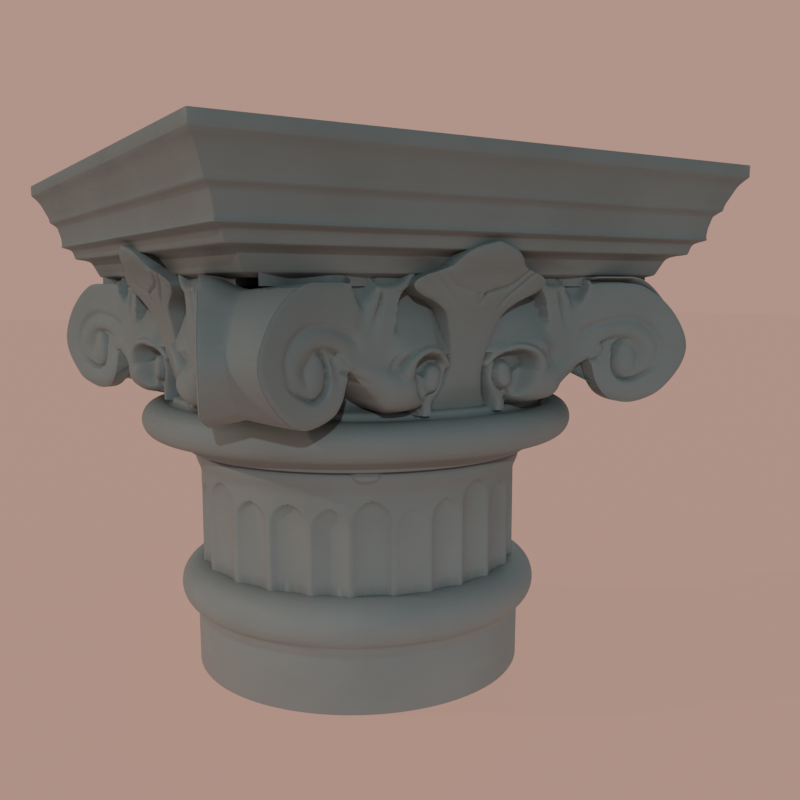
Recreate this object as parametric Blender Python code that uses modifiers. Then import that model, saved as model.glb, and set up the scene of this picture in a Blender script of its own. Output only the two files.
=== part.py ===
"""Carved wooden column capital: turned neck with flutes, four angle volutes and a moulded square abacus.

The origin is the centre of the underside, +Z is up and the carved faces look along -Y, +X, +Y and -X.
Lengths are in metres.
"""
import math

import bmesh
import bpy
from mathutils import Matrix, Vector

# Overall size
ABACUS_WIDTH = 0.408
HEIGHT = 0.378

# Turned foot: base band, cove and lower torus
BASE_RADIUS = 0.1276
BASE_HEIGHT = 0.0425
BASE_EDGE = 0.0015
FOOT_COVE_HEIGHT = 0.0070
FOOT_COVE_WIDTH = 0.0034
LOWER_TORUS_HEIGHT = 0.0330
LOWER_TORUS_RADIUS = 0.1400

# Fluted neck
NECK_RADIUS = 0.1236
NECK_HEIGHT = 0.0890
NECK_FLARE = 0.0040
NECK_FLARE_HEIGHT = 0.0180
FLUTE_COUNT = 26
FLUTE_WIDTH = 0.0262
FLUTE_DEPTH = 0.0042
FLUTE_TOP_GAP = 0.0235
FLUTE_DRIFT = math.radians(2.0)
FLUTE_DRIFT_PHASE = math.radians(144)
FLUTE_START = math.radians(-5.85)

# Upper torus, with the lip under it and the ledge above
LIP_HEIGHT = 0.0112
LIP_RADIUS = 0.1346
LIP_SPREAD = 0.0156
UPPER_TORUS_HEIGHT = 0.0258
UPPER_TORUS_RADIUS = 0.1666
LEDGE_RADIUS = 0.1440
LEDGE_HEIGHT = 0.0052

# Bell behind the carving
BELL_RADIUS = 0.1280
BELL_TOP_RADIUS = 0.1540

# Abacus, from the top down: each band is a height and how far it stands in from the one above
FASCIA_HEIGHT = 0.0090
COVE_STEP = 0.0028
COVE_HEIGHT = 0.0226
COVE_DEPTH = 0.0090
SECOND_BAND_STEP = 0.0056
SECOND_BAND_SPLAY = 0.0026
SECOND_BAND_HEIGHT = 0.0172
THIRD_BAND_STEP = 0.0064
THIRD_BAND_SPLAY = 0.0026
THIRD_BAND_HEIGHT = 0.0100
FOURTH_BAND_STEP = 0.0108
FOURTH_BAND_SPLAY = 0.0046
FOURTH_BAND_HEIGHT = 0.0120
BAND_BEVEL = 0.0032

# Plan of a carved face: a flat middle, and wings that turn out to the tips of the volutes
VOLUTE_TIP_ACROSS = 0.1632
VOLUTE_TIP_OUT = 0.1883
FACE_OUT = 0.1571
FACE_BEND = 0.0080
FACE_BEND_ACROSS = 0.0860
VOLUTE_HEIGHT = 0.0843
VOLUTE_GROOVE = 0.0055
NOTCH_DEPTH = 0.0130
RECESS_FOOT_DEPTH = 0.0130
RECESS_TOP_DEPTH = 0.0220
DISC_THICKNESS = 0.0060
RIM_VALLEY = 0.0075
RIM_ROOT_SPREAD = 0.0150
RIM_SETBACK = 0.0005
CAP_PLATE_HEIGHT = 0.0080
CAP_PLATE_INSET = 0.0120
CAP_PLATE_REACH = 0.1306
CURL_TUBE = 0.0080
CURL_PROUD = 0.0045

# Leaf on the middle of each face
LEAF_BASE_OUT = 0.1400
LEAF_TIP_OUT = 0.1840
LEAF_RISE = 0.0165
LEAF_LOBE = 0.0040

ROUND_STEPS = 44
TORUS_STEPS = 6
COVE_STEPS = 4
CAP_PLATE_STEPS = 8
FLUTE_SIDES = 16
FLUTE_DOME_STEPS = 5
SHARP_ANGLE = math.radians(35)
FLAT_ANGLE = math.radians(1)
OVERLAP = 0.0020
MERGE = 0.00001

# Heights worked out from the sizes above
lower_torus_z = BASE_HEIGHT + FOOT_COVE_HEIGHT
neck_z = lower_torus_z + LOWER_TORUS_HEIGHT
lip_z = neck_z + NECK_HEIGHT
upper_torus_z = lip_z + LIP_HEIGHT
ledge_z = upper_torus_z + UPPER_TORUS_HEIGHT + LEDGE_HEIGHT
abacus_z = HEIGHT - (
    FASCIA_HEIGHT + COVE_HEIGHT + SECOND_BAND_HEIGHT + THIRD_BAND_HEIGHT + FOURTH_BAND_HEIGHT
) - 2 * BAND_BEVEL
carving_height = abacus_z - ledge_z
flute_radius = (FLUTE_WIDTH ** 2 / 4 + FLUTE_DEPTH ** 2) / (2 * FLUTE_DEPTH)


def clear_scene():
    for item in list(bpy.data.objects):
        bpy.data.objects.remove(item, do_unlink=True)


def new_collection(name):
    collection = bpy.data.collections.new(name)
    bpy.context.scene.collection.children.link(collection)
    return collection


def painted_wood():
    material = bpy.data.materials.new("grey_primed_wood")
    material.use_nodes = True
    shader = material.node_tree.nodes["Principled BSDF"]
    shader.inputs["Base Color"].default_value = (0.23, 0.225, 0.21, 1.0)
    shader.inputs["Roughness"].default_value = 0.75
    shader.inputs["Metallic"].default_value = 0.0
    return material


def add_object(name, mesh, collection):
    item = bpy.data.objects.new(name, mesh)
    collection.objects.link(item)
    return item


def as_guide(item):
    """A shape that only cuts or joins another one is hidden from the render and drawn as wire."""
    item.hide_render = True
    item.display_type = "WIRE"
    return item


def boolean(target, tool, operation, solver="EXACT"):
    """MANIFOLD is for the joins where carved surfaces cross at grazing angles, which EXACT leaves open."""
    modifier = target.modifiers.new(operation.lower() + "_" + tool.name, "BOOLEAN")
    modifier.operation = operation
    modifier.solver = solver
    modifier.object = as_guide(tool)
    return modifier


def realise(item, name, collection):
    """A new mesh object that holds what the modifiers or the curve of item make."""
    graph = bpy.context.evaluated_depsgraph_get()
    mesh = bpy.data.meshes.new_from_object(item.evaluated_get(graph), depsgraph=graph)
    mesh.transform(item.matrix_world)
    solid = add_object(name, mesh, collection)
    edit = bmesh.new()
    edit.from_mesh(mesh)
    bmesh.ops.remove_doubles(edit, verts=edit.verts, dist=MERGE)
    bmesh.ops.dissolve_limit(edit, angle_limit=FLAT_ANGLE, verts=edit.verts, edges=edit.edges)
    bmesh.ops.recalc_face_normals(edit, faces=edit.faces)
    bmesh.ops.triangulate(edit, faces=edit.faces)
    edit.to_mesh(mesh)
    edit.free()
    bpy.data.objects.remove(item, do_unlink=True)
    return solid


def turned(name, profile, collection, steps=ROUND_STEPS, angle=0.0):
    """Profile (radius, height) from the top of the axis down its outer side, turned with a Screw."""
    mesh = bpy.data.meshes.new(name)
    edges = [(i, i + 1) for i in range(len(profile) - 1)]
    mesh.from_pydata([(r, 0.0, z) for r, z in profile], edges, [])
    item = add_object(name, mesh, collection)
    item.rotation_euler.z = angle
    screw = item.modifiers.new("turning", "SCREW")
    screw.axis = "Z"
    screw.steps = steps
    screw.render_steps = steps
    screw.use_merge_vertices = True
    screw.merge_threshold = MERGE
    return item


def arc(start, end, bulge, steps):
    """Points of a round moulding from start to end; bulge is the height of the arc over its chord."""
    (x0, z0), (x1, z1) = start, end
    chord = math.hypot(x1 - x0, z1 - z0)
    radius = (chord * chord / 4 + bulge * bulge) / (2 * abs(bulge))
    side = math.copysign(1.0, bulge)
    normal = ((z0 - z1) / chord * side, (x1 - x0) / chord * side)
    half = math.asin(min(1.0, chord / 2 / radius))
    if abs(bulge) > chord / 2:
        half = math.pi - half
    points = []
    for i in range(1, steps):
        turn = half * (2 * i / steps - 1)
        along = 0.5 + radius * math.sin(turn) / chord
        rise = radius * math.cos(turn) - (radius - abs(bulge))
        points.append((x0 + (x1 - x0) * along + normal[0] * rise, z0 + (z1 - z0) * along + normal[1] * rise))
    return points


def smooth(points, steps):
    """Catmull-Rom curve through the points, with a number of steps for each span."""
    last = len(points) - 1
    curve = []
    for i in range(last):
        a, b, c, d = (points[min(max(i + k, 0), last)] for k in (-1, 0, 1, 2))
        for step in range(steps):
            t = step / steps
            curve.append(tuple(
                0.5 * (2 * q + (r - p) * t + (2 * p - 5 * q + 4 * r - s) * t * t + (3 * q - p - 3 * r + s) * t ** 3)
                for p, q, r, s in zip(a, b, c, d)
            ))
    curve.append(points[-1])
    return curve


def slab(name, outline, low, high, collection, upright=True):
    """A flat outline made solid. An upright slab stands in the XZ plane and is thick along Y."""
    data = bpy.data.curves.new(name, "CURVE")
    data.dimensions = "2D"
    data.fill_mode = "BOTH"
    data.extrude = (high - low) / 2
    spline = data.splines.new("POLY")
    spline.points.add(len(outline) - 1)
    for point, (a, b) in zip(spline.points, outline):
        point.co = (a, b, 0.0, 1.0)
    spline.use_cyclic_u = True
    item = bpy.data.objects.new(name + "_outline", data)
    collection.objects.link(item)
    middle = (low + high) / 2
    if upright:
        item.rotation_euler.x = math.pi / 2
        item.location.y = middle
    else:
        item.location.z = middle
    bpy.context.view_layer.update()
    return realise(item, name, collection)


def tube(name, path, thickness, taper, collection):
    """A round bar along a path; taper is the share of its thickness that it loses on the way."""
    data = bpy.data.curves.new(name, "CURVE")
    data.dimensions = "3D"
    data.bevel_depth = thickness
    data.bevel_resolution = 1
    data.use_fill_caps = True
    spline = data.splines.new("POLY")
    spline.points.add(len(path) - 1)
    for i, place in enumerate(path):
        spline.points[i].co = (*place, 1.0)
        spline.points[i].radius = 1.0 - taper * i / (len(path) - 1)
    item = bpy.data.objects.new(name + "_path", data)
    collection.objects.link(item)
    return realise(item, name, collection)


def loft(name, rings, collection):
    """A closed solid through rings of points that follow one another; its ends are flat."""
    edit = bmesh.new()
    loops = [[edit.verts.new(point) for point in ring] for ring in rings]
    for low, high in zip(loops, loops[1:]):
        for i in range(len(low)):
            j = (i + 1) % len(low)
            edit.faces.new((low[i], low[j], high[j], high[i]))
    edit.faces.new(list(reversed(loops[0])))
    edit.faces.new(loops[-1])
    bmesh.ops.recalc_face_normals(edit, faces=edit.faces)
    bmesh.ops.triangulate(edit, faces=edit.faces)
    mesh = bpy.data.meshes.new(name)
    edit.to_mesh(mesh)
    edit.free()
    return add_object(name, mesh, collection)


def face_out(across):
    """How far a carved face stands out from the axis: its flat middle, then a straight wing at each side."""
    slope = (VOLUTE_TIP_OUT - FACE_OUT) / (VOLUTE_TIP_ACROSS - FACE_BEND_ACROSS)
    gap = (abs(across) - FACE_BEND_ACROSS) * slope
    return FACE_OUT + (gap + math.sqrt(gap * gap + FACE_BEND * FACE_BEND)) / 2


def on_face(across, up):
    """A place on a carved face, from shares of the volute's reach and of the carving's height."""
    return across * VOLUTE_TIP_ACROSS, ledge_z + up * carving_height


# Volute, seen on the face: its eye, and its radius at each quarter turn from the top, over the
# outer side, as shares of the volute's height
VOLUTE_EYE = (0.75, 0.389)
VOLUTE_RADII = (0.576, 0.484, 0.424, 0.308)
GROOVE_RADII = (0.400, 0.352, 0.290, 0.215, 0.160, 0.110)
VOLUTE_STEPS = 6
RIM_STEPS = 5
GROOVE_STEPS = 2
GROOVE_TAPER = 0.45
GROOVE_PROUD = 0.25


def spiral(radii, steps):
    """Points of a spiral that goes from the top over the outer side, one radius a quarter turn."""
    eye = on_face(*VOLUTE_EYE)
    rings = smooth([(r * VOLUTE_HEIGHT,) for r in radii], steps)
    points = []
    for i, (radius,) in enumerate(rings):
        turn = i / steps * math.pi / 2
        points.append((eye[0] + radius * math.sin(turn), eye[1] + radius * math.cos(turn)))
    return points


# Stretches of a half face's outline, as shares of the reach and of the carving's height
STALK_AND_NOTCH = ((0.265, 1.08), (0.410, 1.08), (0.428, 0.880), (0.460, 0.765), (0.497, 0.727),
                   (0.530, 0.770), (0.556, 0.880), (0.580, 0.930))
SCROLL = ((0.578, 0.352), (0.554, 0.285), (0.500, 0.212), (0.440, 0.130), (0.360, 0.042))
SMALL_CURL = ((0.250, 0.015), (0.160, 0.055), (0.108, 0.160), (0.098, 0.290), (0.120, 0.410),
              (0.190, 0.460), (0.262, 0.420), (0.298, 0.372))
RECESS_SIDE = ((0.345, 0.380), (0.352, 0.480), (0.336, 0.620), (0.312, 0.760), (0.276, 0.860), (0.250, 0.930))
NOTCH_BACKING = ((0.30, 0.45), (0.52, 0.45), (0.52, 1.06), (0.30, 1.06))
RECESS_REACH = 0.40
RECESS_FOOT, RECESS_TOP = 0.30, 1.05
FACE_BEND_STEPS = (-3.0, -1.2, 0.0, 1.2, 3.0)
WING_END = 1.3

# How far in the carving is rooted, as shares of the bell's radius
ENVELOPE_ROOT_ACROSS = 0.62
ENVELOPE_ROOT = 0.70
SCREEN_ROOT = 0.60
BACKING_ROOT = 0.58
NOTCH_ROOT = 0.65
RIM_ROOT = 0.66
LEAF_ROOT = 0.50


def half_outline():
    """Right half of the pierced screen of scrolls, stalks and volutes on a face."""
    points = [on_face(*p) for p in STALK_AND_NOTCH]
    points += spiral(VOLUTE_RADII, VOLUTE_STEPS)[:-1]
    points += [on_face(*p) for p in SCROLL]
    points += [on_face(*p) for p in SMALL_CURL]
    points += [on_face(*p) for p in RECESS_SIDE]
    return points


def face_envelope(collection):
    """Plan of a carved face: its curved front, thin wings behind the volutes, and a root in the bell."""
    half = [(x, -face_out(x)) for x in (FACE_BEND_ACROSS + bend * FACE_BEND for bend in FACE_BEND_STEPS)]
    tip = WING_END * VOLUTE_TIP_ACROSS
    half += [(tip, -face_out(tip)), (tip, DISC_THICKNESS - face_out(tip))]
    half += [(FACE_BEND_ACROSS, 2 * DISC_THICKNESS - FACE_OUT)]
    half += [(ENVELOPE_ROOT_ACROSS * BELL_RADIUS, -ENVELOPE_ROOT * BELL_RADIUS)]
    outline = half + [(-x, y) for x, y in reversed(half)]
    return slab("face_envelope", outline, ledge_z - carving_height, HEIGHT, collection, upright=False)


def volute_groove(name, mirror, collection):
    """The channel that winds in to the eye, cut into the face of a volute."""
    proud = VOLUTE_GROOVE * GROOVE_PROUD
    places = [(mirror * x, -face_out(x) - proud, z) for x, z in spiral(GROOVE_RADII, GROOVE_STEPS)]
    return tube(name, places, VOLUTE_GROOVE, GROOVE_TAPER, collection)


# Middle line of the small curl, as shares of the reach and of the carving's height
CURL_STEPS = 2
CURL_TAPER = 0.35
CURL_PATH = ((0.400, 0.180), (0.300, 0.125), (0.195, 0.150), (0.160, 0.260), (0.190, 0.355), (0.255, 0.345))


def small_curl(name, mirror, collection):
    """The rolled end of a scroll beside the leaf: a tapering bar that winds up and over."""
    path = smooth([on_face(*p) for p in CURL_PATH], CURL_STEPS)
    places = [(mirror * x, -face_out(x) + CURL_TUBE - CURL_PROUD, z) for x, z in path]
    return tube(name, places, CURL_TUBE, CURL_TAPER, collection)


# Leaf, as shares: height of the section, half width, how far it stands out between its base and
# its tip, and how far its edges curl back
LEAF_SECTIONS = (
    (-0.030, 0.140, -0.02, 0.010), (0.300, 0.088, 0.22, 0.018), (0.500, 0.100, 0.36, 0.018),
    (0.700, 0.150, 0.46, 0.016), (0.820, 0.235, 0.55, 0.014), (0.930, 0.318, 0.70, 0.012),
    (1.000, 0.270, 0.86, 0.010), (1.060, 0.200, 0.97, 0.010),
)
LEAF_COLUMNS = 8
LEAF_SHOULDER = (0.8, 0.150, 1.00, 0.010)
LEAF_TIP = (1.0, 0.070, 0.99, 0.004)
LEAF_FAN_START = 0.70
LEAF_FAN_END = 0.95


def leaf(collection):
    """Loft of the leaf: a narrow stem that spreads into a fan and bends out over the abacus."""
    rise = LEAF_RISE / carving_height
    sections = list(LEAF_SECTIONS)
    sections += [(1.0 + share * rise, half, out, curl) for share, half, out, curl in (LEAF_SHOULDER, LEAF_TIP)]
    span = LEAF_TIP_OUT - LEAF_BASE_OUT
    rings = []
    for up, half, out, curl in sections:
        z = ledge_z + up * carving_height
        width = half * VOLUTE_TIP_ACROSS
        front = LEAF_BASE_OUT + out * span
        fan = min(1.0, max(0.0, (up - LEAF_FAN_START) / (LEAF_FAN_END - LEAF_FAN_START)))
        ring = []
        for i in range(LEAF_COLUMNS + 1):
            share = 2 * i / LEAF_COLUMNS - 1
            back = curl * share * share - LEAF_LOBE * fan * math.cos(2 * math.pi * share)
            ring.append((share * width, back - front, z))
        root = -LEAF_ROOT * BELL_RADIUS
        ring += [(width, root, z), (-width, root, z)]
        rings.append(ring)
    return loft("leaf", rings, collection)


def recess_floor(collection):
    """Floor of the hollows beside the leaf: it leans back, so they are deepest under the leaf's wings."""
    half = RECESS_REACH * VOLUTE_TIP_ACROSS
    root = -BACKING_ROOT * BELL_RADIUS
    rings = []
    for up, depth in ((RECESS_FOOT, RECESS_FOOT_DEPTH), (RECESS_TOP, RECESS_TOP_DEPTH)):
        front, z = depth - FACE_OUT, ledge_z + up * carving_height
        rings.append([(-half, front, z), (half, front, z), (half, root, z), (-half, root, z)])
    return loft("recess_floor", rings, collection)


def carved_face(collection):
    """One carved face: the screen cut to the plan curve, with its small curls and its leaf."""
    half = half_outline()
    outline = half + [(-x, z) for x, z in reversed(half)]
    screen = slab("screen", outline, -WING_END * VOLUTE_TIP_OUT, -SCREEN_ROOT * BELL_RADIUS, collection)
    boolean(screen, face_envelope(collection), "INTERSECT")
    for side, mirror in (("right", 1), ("left", -1)):
        boolean(screen, small_curl("curl_" + side, mirror, collection), "UNION")
        corners = [on_face(mirror * x, z) for x, z in NOTCH_BACKING]
        root = -NOTCH_ROOT * BELL_RADIUS
        backing = slab("notch_backing_" + side, corners, NOTCH_DEPTH - FACE_OUT, root, collection)
        boolean(screen, backing, "UNION")
    boolean(screen, recess_floor(collection), "UNION")
    boolean(screen, leaf(collection), "UNION")
    bpy.context.view_layer.update()
    return realise(screen, "carved_face", collection)


def corner_rim(collection):
    """Rim of the front right volute: a loft from its front outline, over a valley, to its side outline."""
    eye_x, eye_z = on_face(*VOLUTE_EYE)
    eye_out = (eye_x + face_out(eye_x)) / 2
    front, valley, side = [], [], []
    for x, z in spiral(VOLUTE_RADII, RIM_STEPS):
        out = face_out(x) - RIM_SETBACK
        front.append((x - RIM_SETBACK, -out, z))
        side.append((out, RIM_SETBACK - x, z))
        middle = (x + out) / 2
        length = math.hypot((middle - eye_out) * math.sqrt(2), z - eye_z)
        share = 1 - RIM_VALLEY / length
        across = eye_out + (middle - eye_out) * share
        valley.append((across, -across, eye_z + (z - eye_z) * share))
    root = RIM_ROOT * BELL_RADIUS
    for ring, spread in ((front, -RIM_ROOT_SPREAD), (valley, 0.0), (side, RIM_ROOT_SPREAD)):
        place = (root + spread, spread - root)
        ring += [(*place, ring[-1][2]), (*place, ring[0][2])]
    return loft("corner_rim", (front, valley, side), collection)


def cap_plate(collection):
    """Thin plate under the abacus whose four sides follow the plan of the faces."""
    outline = []
    for quarter in range(4):
        turn = Matrix.Rotation(quarter * math.pi / 2, 2)
        for i in range(CAP_PLATE_STEPS + 1):
            across = CAP_PLATE_REACH * (2 * i / CAP_PLATE_STEPS - 1)
            outline.append(tuple(turn @ Vector((across, -face_out(across) + CAP_PLATE_INSET))))
    return slab("cap_plate", outline, abacus_z - CAP_PLATE_HEIGHT, abacus_z + OVERLAP, collection, upright=False)


# Points of the turned mouldings between their ends: shares of a band's spread and of its height
FOOT_COVE_POINT = (0.40, 0.45)
NECK_FLARE_POINT = (0.60, 0.65)
LEDGE_SPLAY = 0.60
LIP_POINT = (0.55, 0.62)
LIP_EDGE = (0.0012, 0.35)
BELL_POINTS = ((0.93 * BELL_TOP_RADIUS, 0.86), (1.04 * BELL_RADIUS, 0.62), (BELL_RADIUS, 0.25),
               (1.02 * BELL_RADIUS, 0.0))


def foot_profile():
    torus_start = (BASE_RADIUS + FOOT_COVE_WIDTH, lower_torus_z)
    torus_end = (NECK_RADIUS - FLUTE_DEPTH - OVERLAP, neck_z)
    bulge = LOWER_TORUS_RADIUS - (torus_start[0] + torus_end[0]) / 2
    points = [(0.0, neck_z), torus_end]
    points += arc(torus_end, torus_start, bulge, TORUS_STEPS)
    wide, high = FOOT_COVE_POINT
    points += [torus_start, (BASE_RADIUS + FOOT_COVE_WIDTH * wide, BASE_HEIGHT + FOOT_COVE_HEIGHT * high)]
    points += [(BASE_RADIUS, BASE_HEIGHT), (BASE_RADIUS, BASE_EDGE), (BASE_RADIUS - BASE_EDGE, 0.0), (0.0, 0.0)]
    return points


def neck_profile():
    flare_z = lip_z - NECK_FLARE_HEIGHT
    wide, high = NECK_FLARE_POINT
    return [(0.0, lip_z + OVERLAP), (NECK_RADIUS + NECK_FLARE, lip_z + OVERLAP),
            (NECK_RADIUS + NECK_FLARE * wide, flare_z + NECK_FLARE_HEIGHT * high), (NECK_RADIUS, flare_z),
            (NECK_RADIUS, lower_torus_z + OVERLAP), (0.0, lower_torus_z + OVERLAP)]


def crown_profile():
    crease = (LIP_RADIUS + LIP_SPREAD, upper_torus_z)
    torus_top = (LEDGE_RADIUS + LEDGE_HEIGHT * LEDGE_SPLAY, upper_torus_z + UPPER_TORUS_HEIGHT)
    bulge = UPPER_TORUS_RADIUS - (crease[0] + torus_top[0]) / 2
    points = [(0.0, abacus_z + OVERLAP), (BELL_TOP_RADIUS, abacus_z + OVERLAP)]
    points += [(radius, ledge_z + up * carving_height) for radius, up in BELL_POINTS]
    points += [(LEDGE_RADIUS, ledge_z), torus_top]
    points += arc(torus_top, crease, bulge, TORUS_STEPS)
    points += [crease, (LIP_RADIUS + LIP_SPREAD * LIP_POINT[0], lip_z + LIP_HEIGHT * LIP_POINT[1])]
    edge, up = LIP_EDGE
    points += [(LIP_RADIUS, lip_z + LIP_HEIGHT * up), (LIP_RADIUS - edge, lip_z), (0.0, lip_z)]
    return points


def abacus_profile():
    """Half width and height of each arris of the abacus, from the top down."""
    x, z = ABACUS_WIDTH / 2, HEIGHT
    points = [(0.0, z), (x, z)]
    z -= FASCIA_HEIGHT
    points.append((x, z))
    x -= COVE_STEP
    cove_top = z - COVE_STEP
    points.append((x, cove_top))
    cove = COVE_HEIGHT - COVE_STEP
    for i in range(1, COVE_STEPS + 1):
        turn = i / COVE_STEPS * math.pi / 2
        points.append((x - COVE_DEPTH * math.sin(turn), cove_top - cove * (1 - math.cos(turn))))
    x, z = x - COVE_DEPTH, cove_top - cove
    bands = ((SECOND_BAND_STEP, SECOND_BAND_SPLAY, SECOND_BAND_HEIGHT),
             (THIRD_BAND_STEP, THIRD_BAND_SPLAY, THIRD_BAND_HEIGHT),
             (FOURTH_BAND_STEP, FOURTH_BAND_SPLAY, FOURTH_BAND_HEIGHT))
    for number, (step, splay, height) in enumerate(bands):
        drop = BAND_BEVEL if number < 2 else 0.0
        points.append((x - step, z - drop))
        x, z = x - step - splay, z - drop - height
        points.append((x, z))
    points.append((0.0, z))
    return points


def flute_cutter(number, shape, collection):
    """A round-topped cutter at its place on the neck; the spacing drifts a little round the neck."""
    angle = FLUTE_START + number * 2 * math.pi / FLUTE_COUNT
    angle += FLUTE_DRIFT * math.sin(3 * angle + FLUTE_DRIFT_PHASE)
    out = NECK_RADIUS - FLUTE_DEPTH + flute_radius
    cutter = add_object("flute_%02d" % number, shape, collection)
    cutter.location = (out * math.cos(angle), out * math.sin(angle), 0.0)
    cutter.rotation_euler.z = angle
    return cutter


def flute_shape(collection):
    """Cutter for one flute: a bar with a round top."""
    top = lip_z - FLUTE_TOP_GAP - FLUTE_WIDTH / 2
    profile = []
    for i in range(FLUTE_DOME_STEPS + 1):
        turn = i / FLUTE_DOME_STEPS * math.pi / 2
        profile.append((flute_radius * math.sin(turn), top + flute_radius * math.cos(turn)))
    profile += [(flute_radius, lower_torus_z), (0.0, lower_torus_z)]
    bar = turned("flute_bar", profile, collection, FLUTE_SIDES, math.pi / FLUTE_SIDES)
    bpy.context.view_layer.update()
    return realise(bar, "flute_shape", collection)


def build():
    clear_scene()
    parts = new_collection("wooden_column_capital")
    guides = new_collection("joining_and_cutting_shapes")

    neck = turned("neck", neck_profile(), guides)
    shape = as_guide(flute_shape(guides))
    for number in range(FLUTE_COUNT):
        boolean(neck, flute_cutter(number, shape.data, guides), "DIFFERENCE")

    capital = turned("turned_foot", foot_profile(), guides)
    boolean(capital, neck, "UNION", "MANIFOLD")
    boolean(capital, turned("crown", crown_profile(), guides), "UNION", "MANIFOLD")
    carving = (
        (corner_rim(guides), "UNION"), (carved_face(guides), "UNION"),
        (volute_groove("groove_right", 1, guides), "DIFFERENCE"),
        (volute_groove("groove_left", -1, guides), "DIFFERENCE"),
    )
    for shape, operation in carving:
        for quarter in range(4):
            copy = add_object("%s_%d" % (shape.name, quarter), shape.data, guides)
            copy.rotation_euler.z = quarter * math.pi / 2
            boolean(capital, copy, operation, "MANIFOLD")
        as_guide(shape)
    boolean(capital, cap_plate(guides), "UNION", "MANIFOLD")
    abacus = turned("abacus", [(x * math.sqrt(2), z) for x, z in abacus_profile()], guides, steps=4,
                    angle=math.pi / 4)
    boolean(capital, abacus, "UNION", "MANIFOLD")
    bpy.context.view_layer.update()
    capital = realise(capital, "capital", parts)
    capital.data.materials.clear()
    capital.data.materials.append(painted_wood())
    capital.data.shade_smooth()
    capital.data.set_sharp_from_angle(angle=SHARP_ANGLE)


build()
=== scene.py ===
# %% [markdown]
# # A carved wooden column capital
# A capital is the head of a column: a round neck with flutes, a ring of carving and a moulded square
# slab, the abacus, that carries the beam. The real one is turned on a lathe, carved by hand, primed and
# painted a flat grey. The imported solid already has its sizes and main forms. This scene shapes the same
# forms again in a finer mesh, with the soft rolls, creases and eased arrises that a gouge leaves, and
# gives them a coat of paint.

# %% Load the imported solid
import math

import bpy
import bmesh
import numpy as np
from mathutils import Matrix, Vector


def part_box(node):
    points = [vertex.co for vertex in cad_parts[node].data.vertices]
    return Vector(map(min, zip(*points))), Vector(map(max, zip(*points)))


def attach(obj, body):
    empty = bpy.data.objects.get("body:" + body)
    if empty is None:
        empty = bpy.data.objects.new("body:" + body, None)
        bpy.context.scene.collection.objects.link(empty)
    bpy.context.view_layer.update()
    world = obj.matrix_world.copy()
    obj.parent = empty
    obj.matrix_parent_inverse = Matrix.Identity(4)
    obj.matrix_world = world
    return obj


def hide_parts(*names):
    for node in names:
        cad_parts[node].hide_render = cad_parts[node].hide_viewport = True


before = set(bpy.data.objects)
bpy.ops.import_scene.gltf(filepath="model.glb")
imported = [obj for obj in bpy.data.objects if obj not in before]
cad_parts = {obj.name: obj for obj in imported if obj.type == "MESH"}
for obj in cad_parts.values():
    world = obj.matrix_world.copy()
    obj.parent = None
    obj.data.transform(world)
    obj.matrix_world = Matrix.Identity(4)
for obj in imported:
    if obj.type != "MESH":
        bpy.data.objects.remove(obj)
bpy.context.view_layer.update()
low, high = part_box("capital")
print("the solid is %.0f mm wide and %.0f mm high" % ((high.x - low.x) * 1000, (high.z - low.z) * 1000))

# %% [markdown]
# ## Camera
# The camera stands left of the front face and a little above it. Its place was found by matching the
# corners of the abacus and the rings of the foot, so what is carved below lands where it should.
# Making it first lets every piece be checked against the view as soon as it exists.

# %% Camera
CAMERA_PLACE = (-0.34868, -0.63422, 0.29319)
CAMERA_YAW = math.radians(31.4716)
CAMERA_PITCH = math.radians(-7.0811)
CAMERA_LENS = 41.0
SENSOR_WIDTH = 36.0

camera_data = bpy.data.cameras.new("camera")
camera_data.lens = CAMERA_LENS
camera_data.sensor_width = SENSOR_WIDTH
camera = bpy.data.objects.new("camera", camera_data)
camera.location = CAMERA_PLACE
camera.rotation_euler = (math.pi / 2 + CAMERA_PITCH, 0.0, -CAMERA_YAW)
bpy.context.scene.collection.objects.link(camera)
bpy.context.scene.camera = camera
print("the camera is %.0f mm from the axis" % (math.hypot(*CAMERA_PLACE[:2]) * 1000))

# %% [markdown]
# ## Tools for numpy surfaces
# Every shape here is worked out as whole arrays: a grid of points, and four-sided faces between the
# neighbours on that grid. Modelling by hand would also work, but a formula keeps each size in sight,
# and one change of a number reshapes the whole surface. All sizes are in millimetres until the mesh is
# made. Most forms fade in or out, so three small functions make a smooth step from 0 to 1.

# %% Grids and meshes
MERGE_METRES = 1e-6


def grid_faces(rows, columns, closed=False):
    """Faces of a grid of points stored row after row. closed also joins the last column to the first."""
    index = np.arange(rows * columns).reshape(rows, columns)
    if closed:
        index = np.hstack((index, index[:, :1]))
    return np.stack((index[:-1, :-1], index[:-1, 1:], index[1:, 1:], index[1:, :-1]), -1).reshape(-1, 4)


def make_piece(name, points, faces):
    """A mesh object from points in millimetres, with all its faces turned outwards."""
    mesh = bpy.data.meshes.new(name)
    mesh.from_pydata((np.asarray(points) / 1000).tolist(), [], [list(face) for face in faces])
    edit = bmesh.new()
    edit.from_mesh(mesh)
    bmesh.ops.remove_doubles(edit, verts=edit.verts, dist=MERGE_METRES)
    bmesh.ops.triangulate(edit, faces=[face for face in edit.faces if len(face.verts) > 4])
    bmesh.ops.recalc_face_normals(edit, faces=edit.faces)
    edit.to_mesh(mesh)
    edit.free()
    piece = bpy.data.objects.new(name, mesh)
    bpy.context.scene.collection.objects.link(piece)
    return piece


def skin(name, rings):
    """A closed solid through rings of points, an array of rings by points by 3; its two ends are flat."""
    rings = np.asarray(rings, float)
    rows, columns = rings.shape[:2]
    ends = [np.arange(columns), np.arange(columns) + (rows - 1) * columns]
    return make_piece(name, rings.reshape(-1, 3), [*grid_faces(rows, columns, closed=True).tolist(), *ends])


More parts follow.
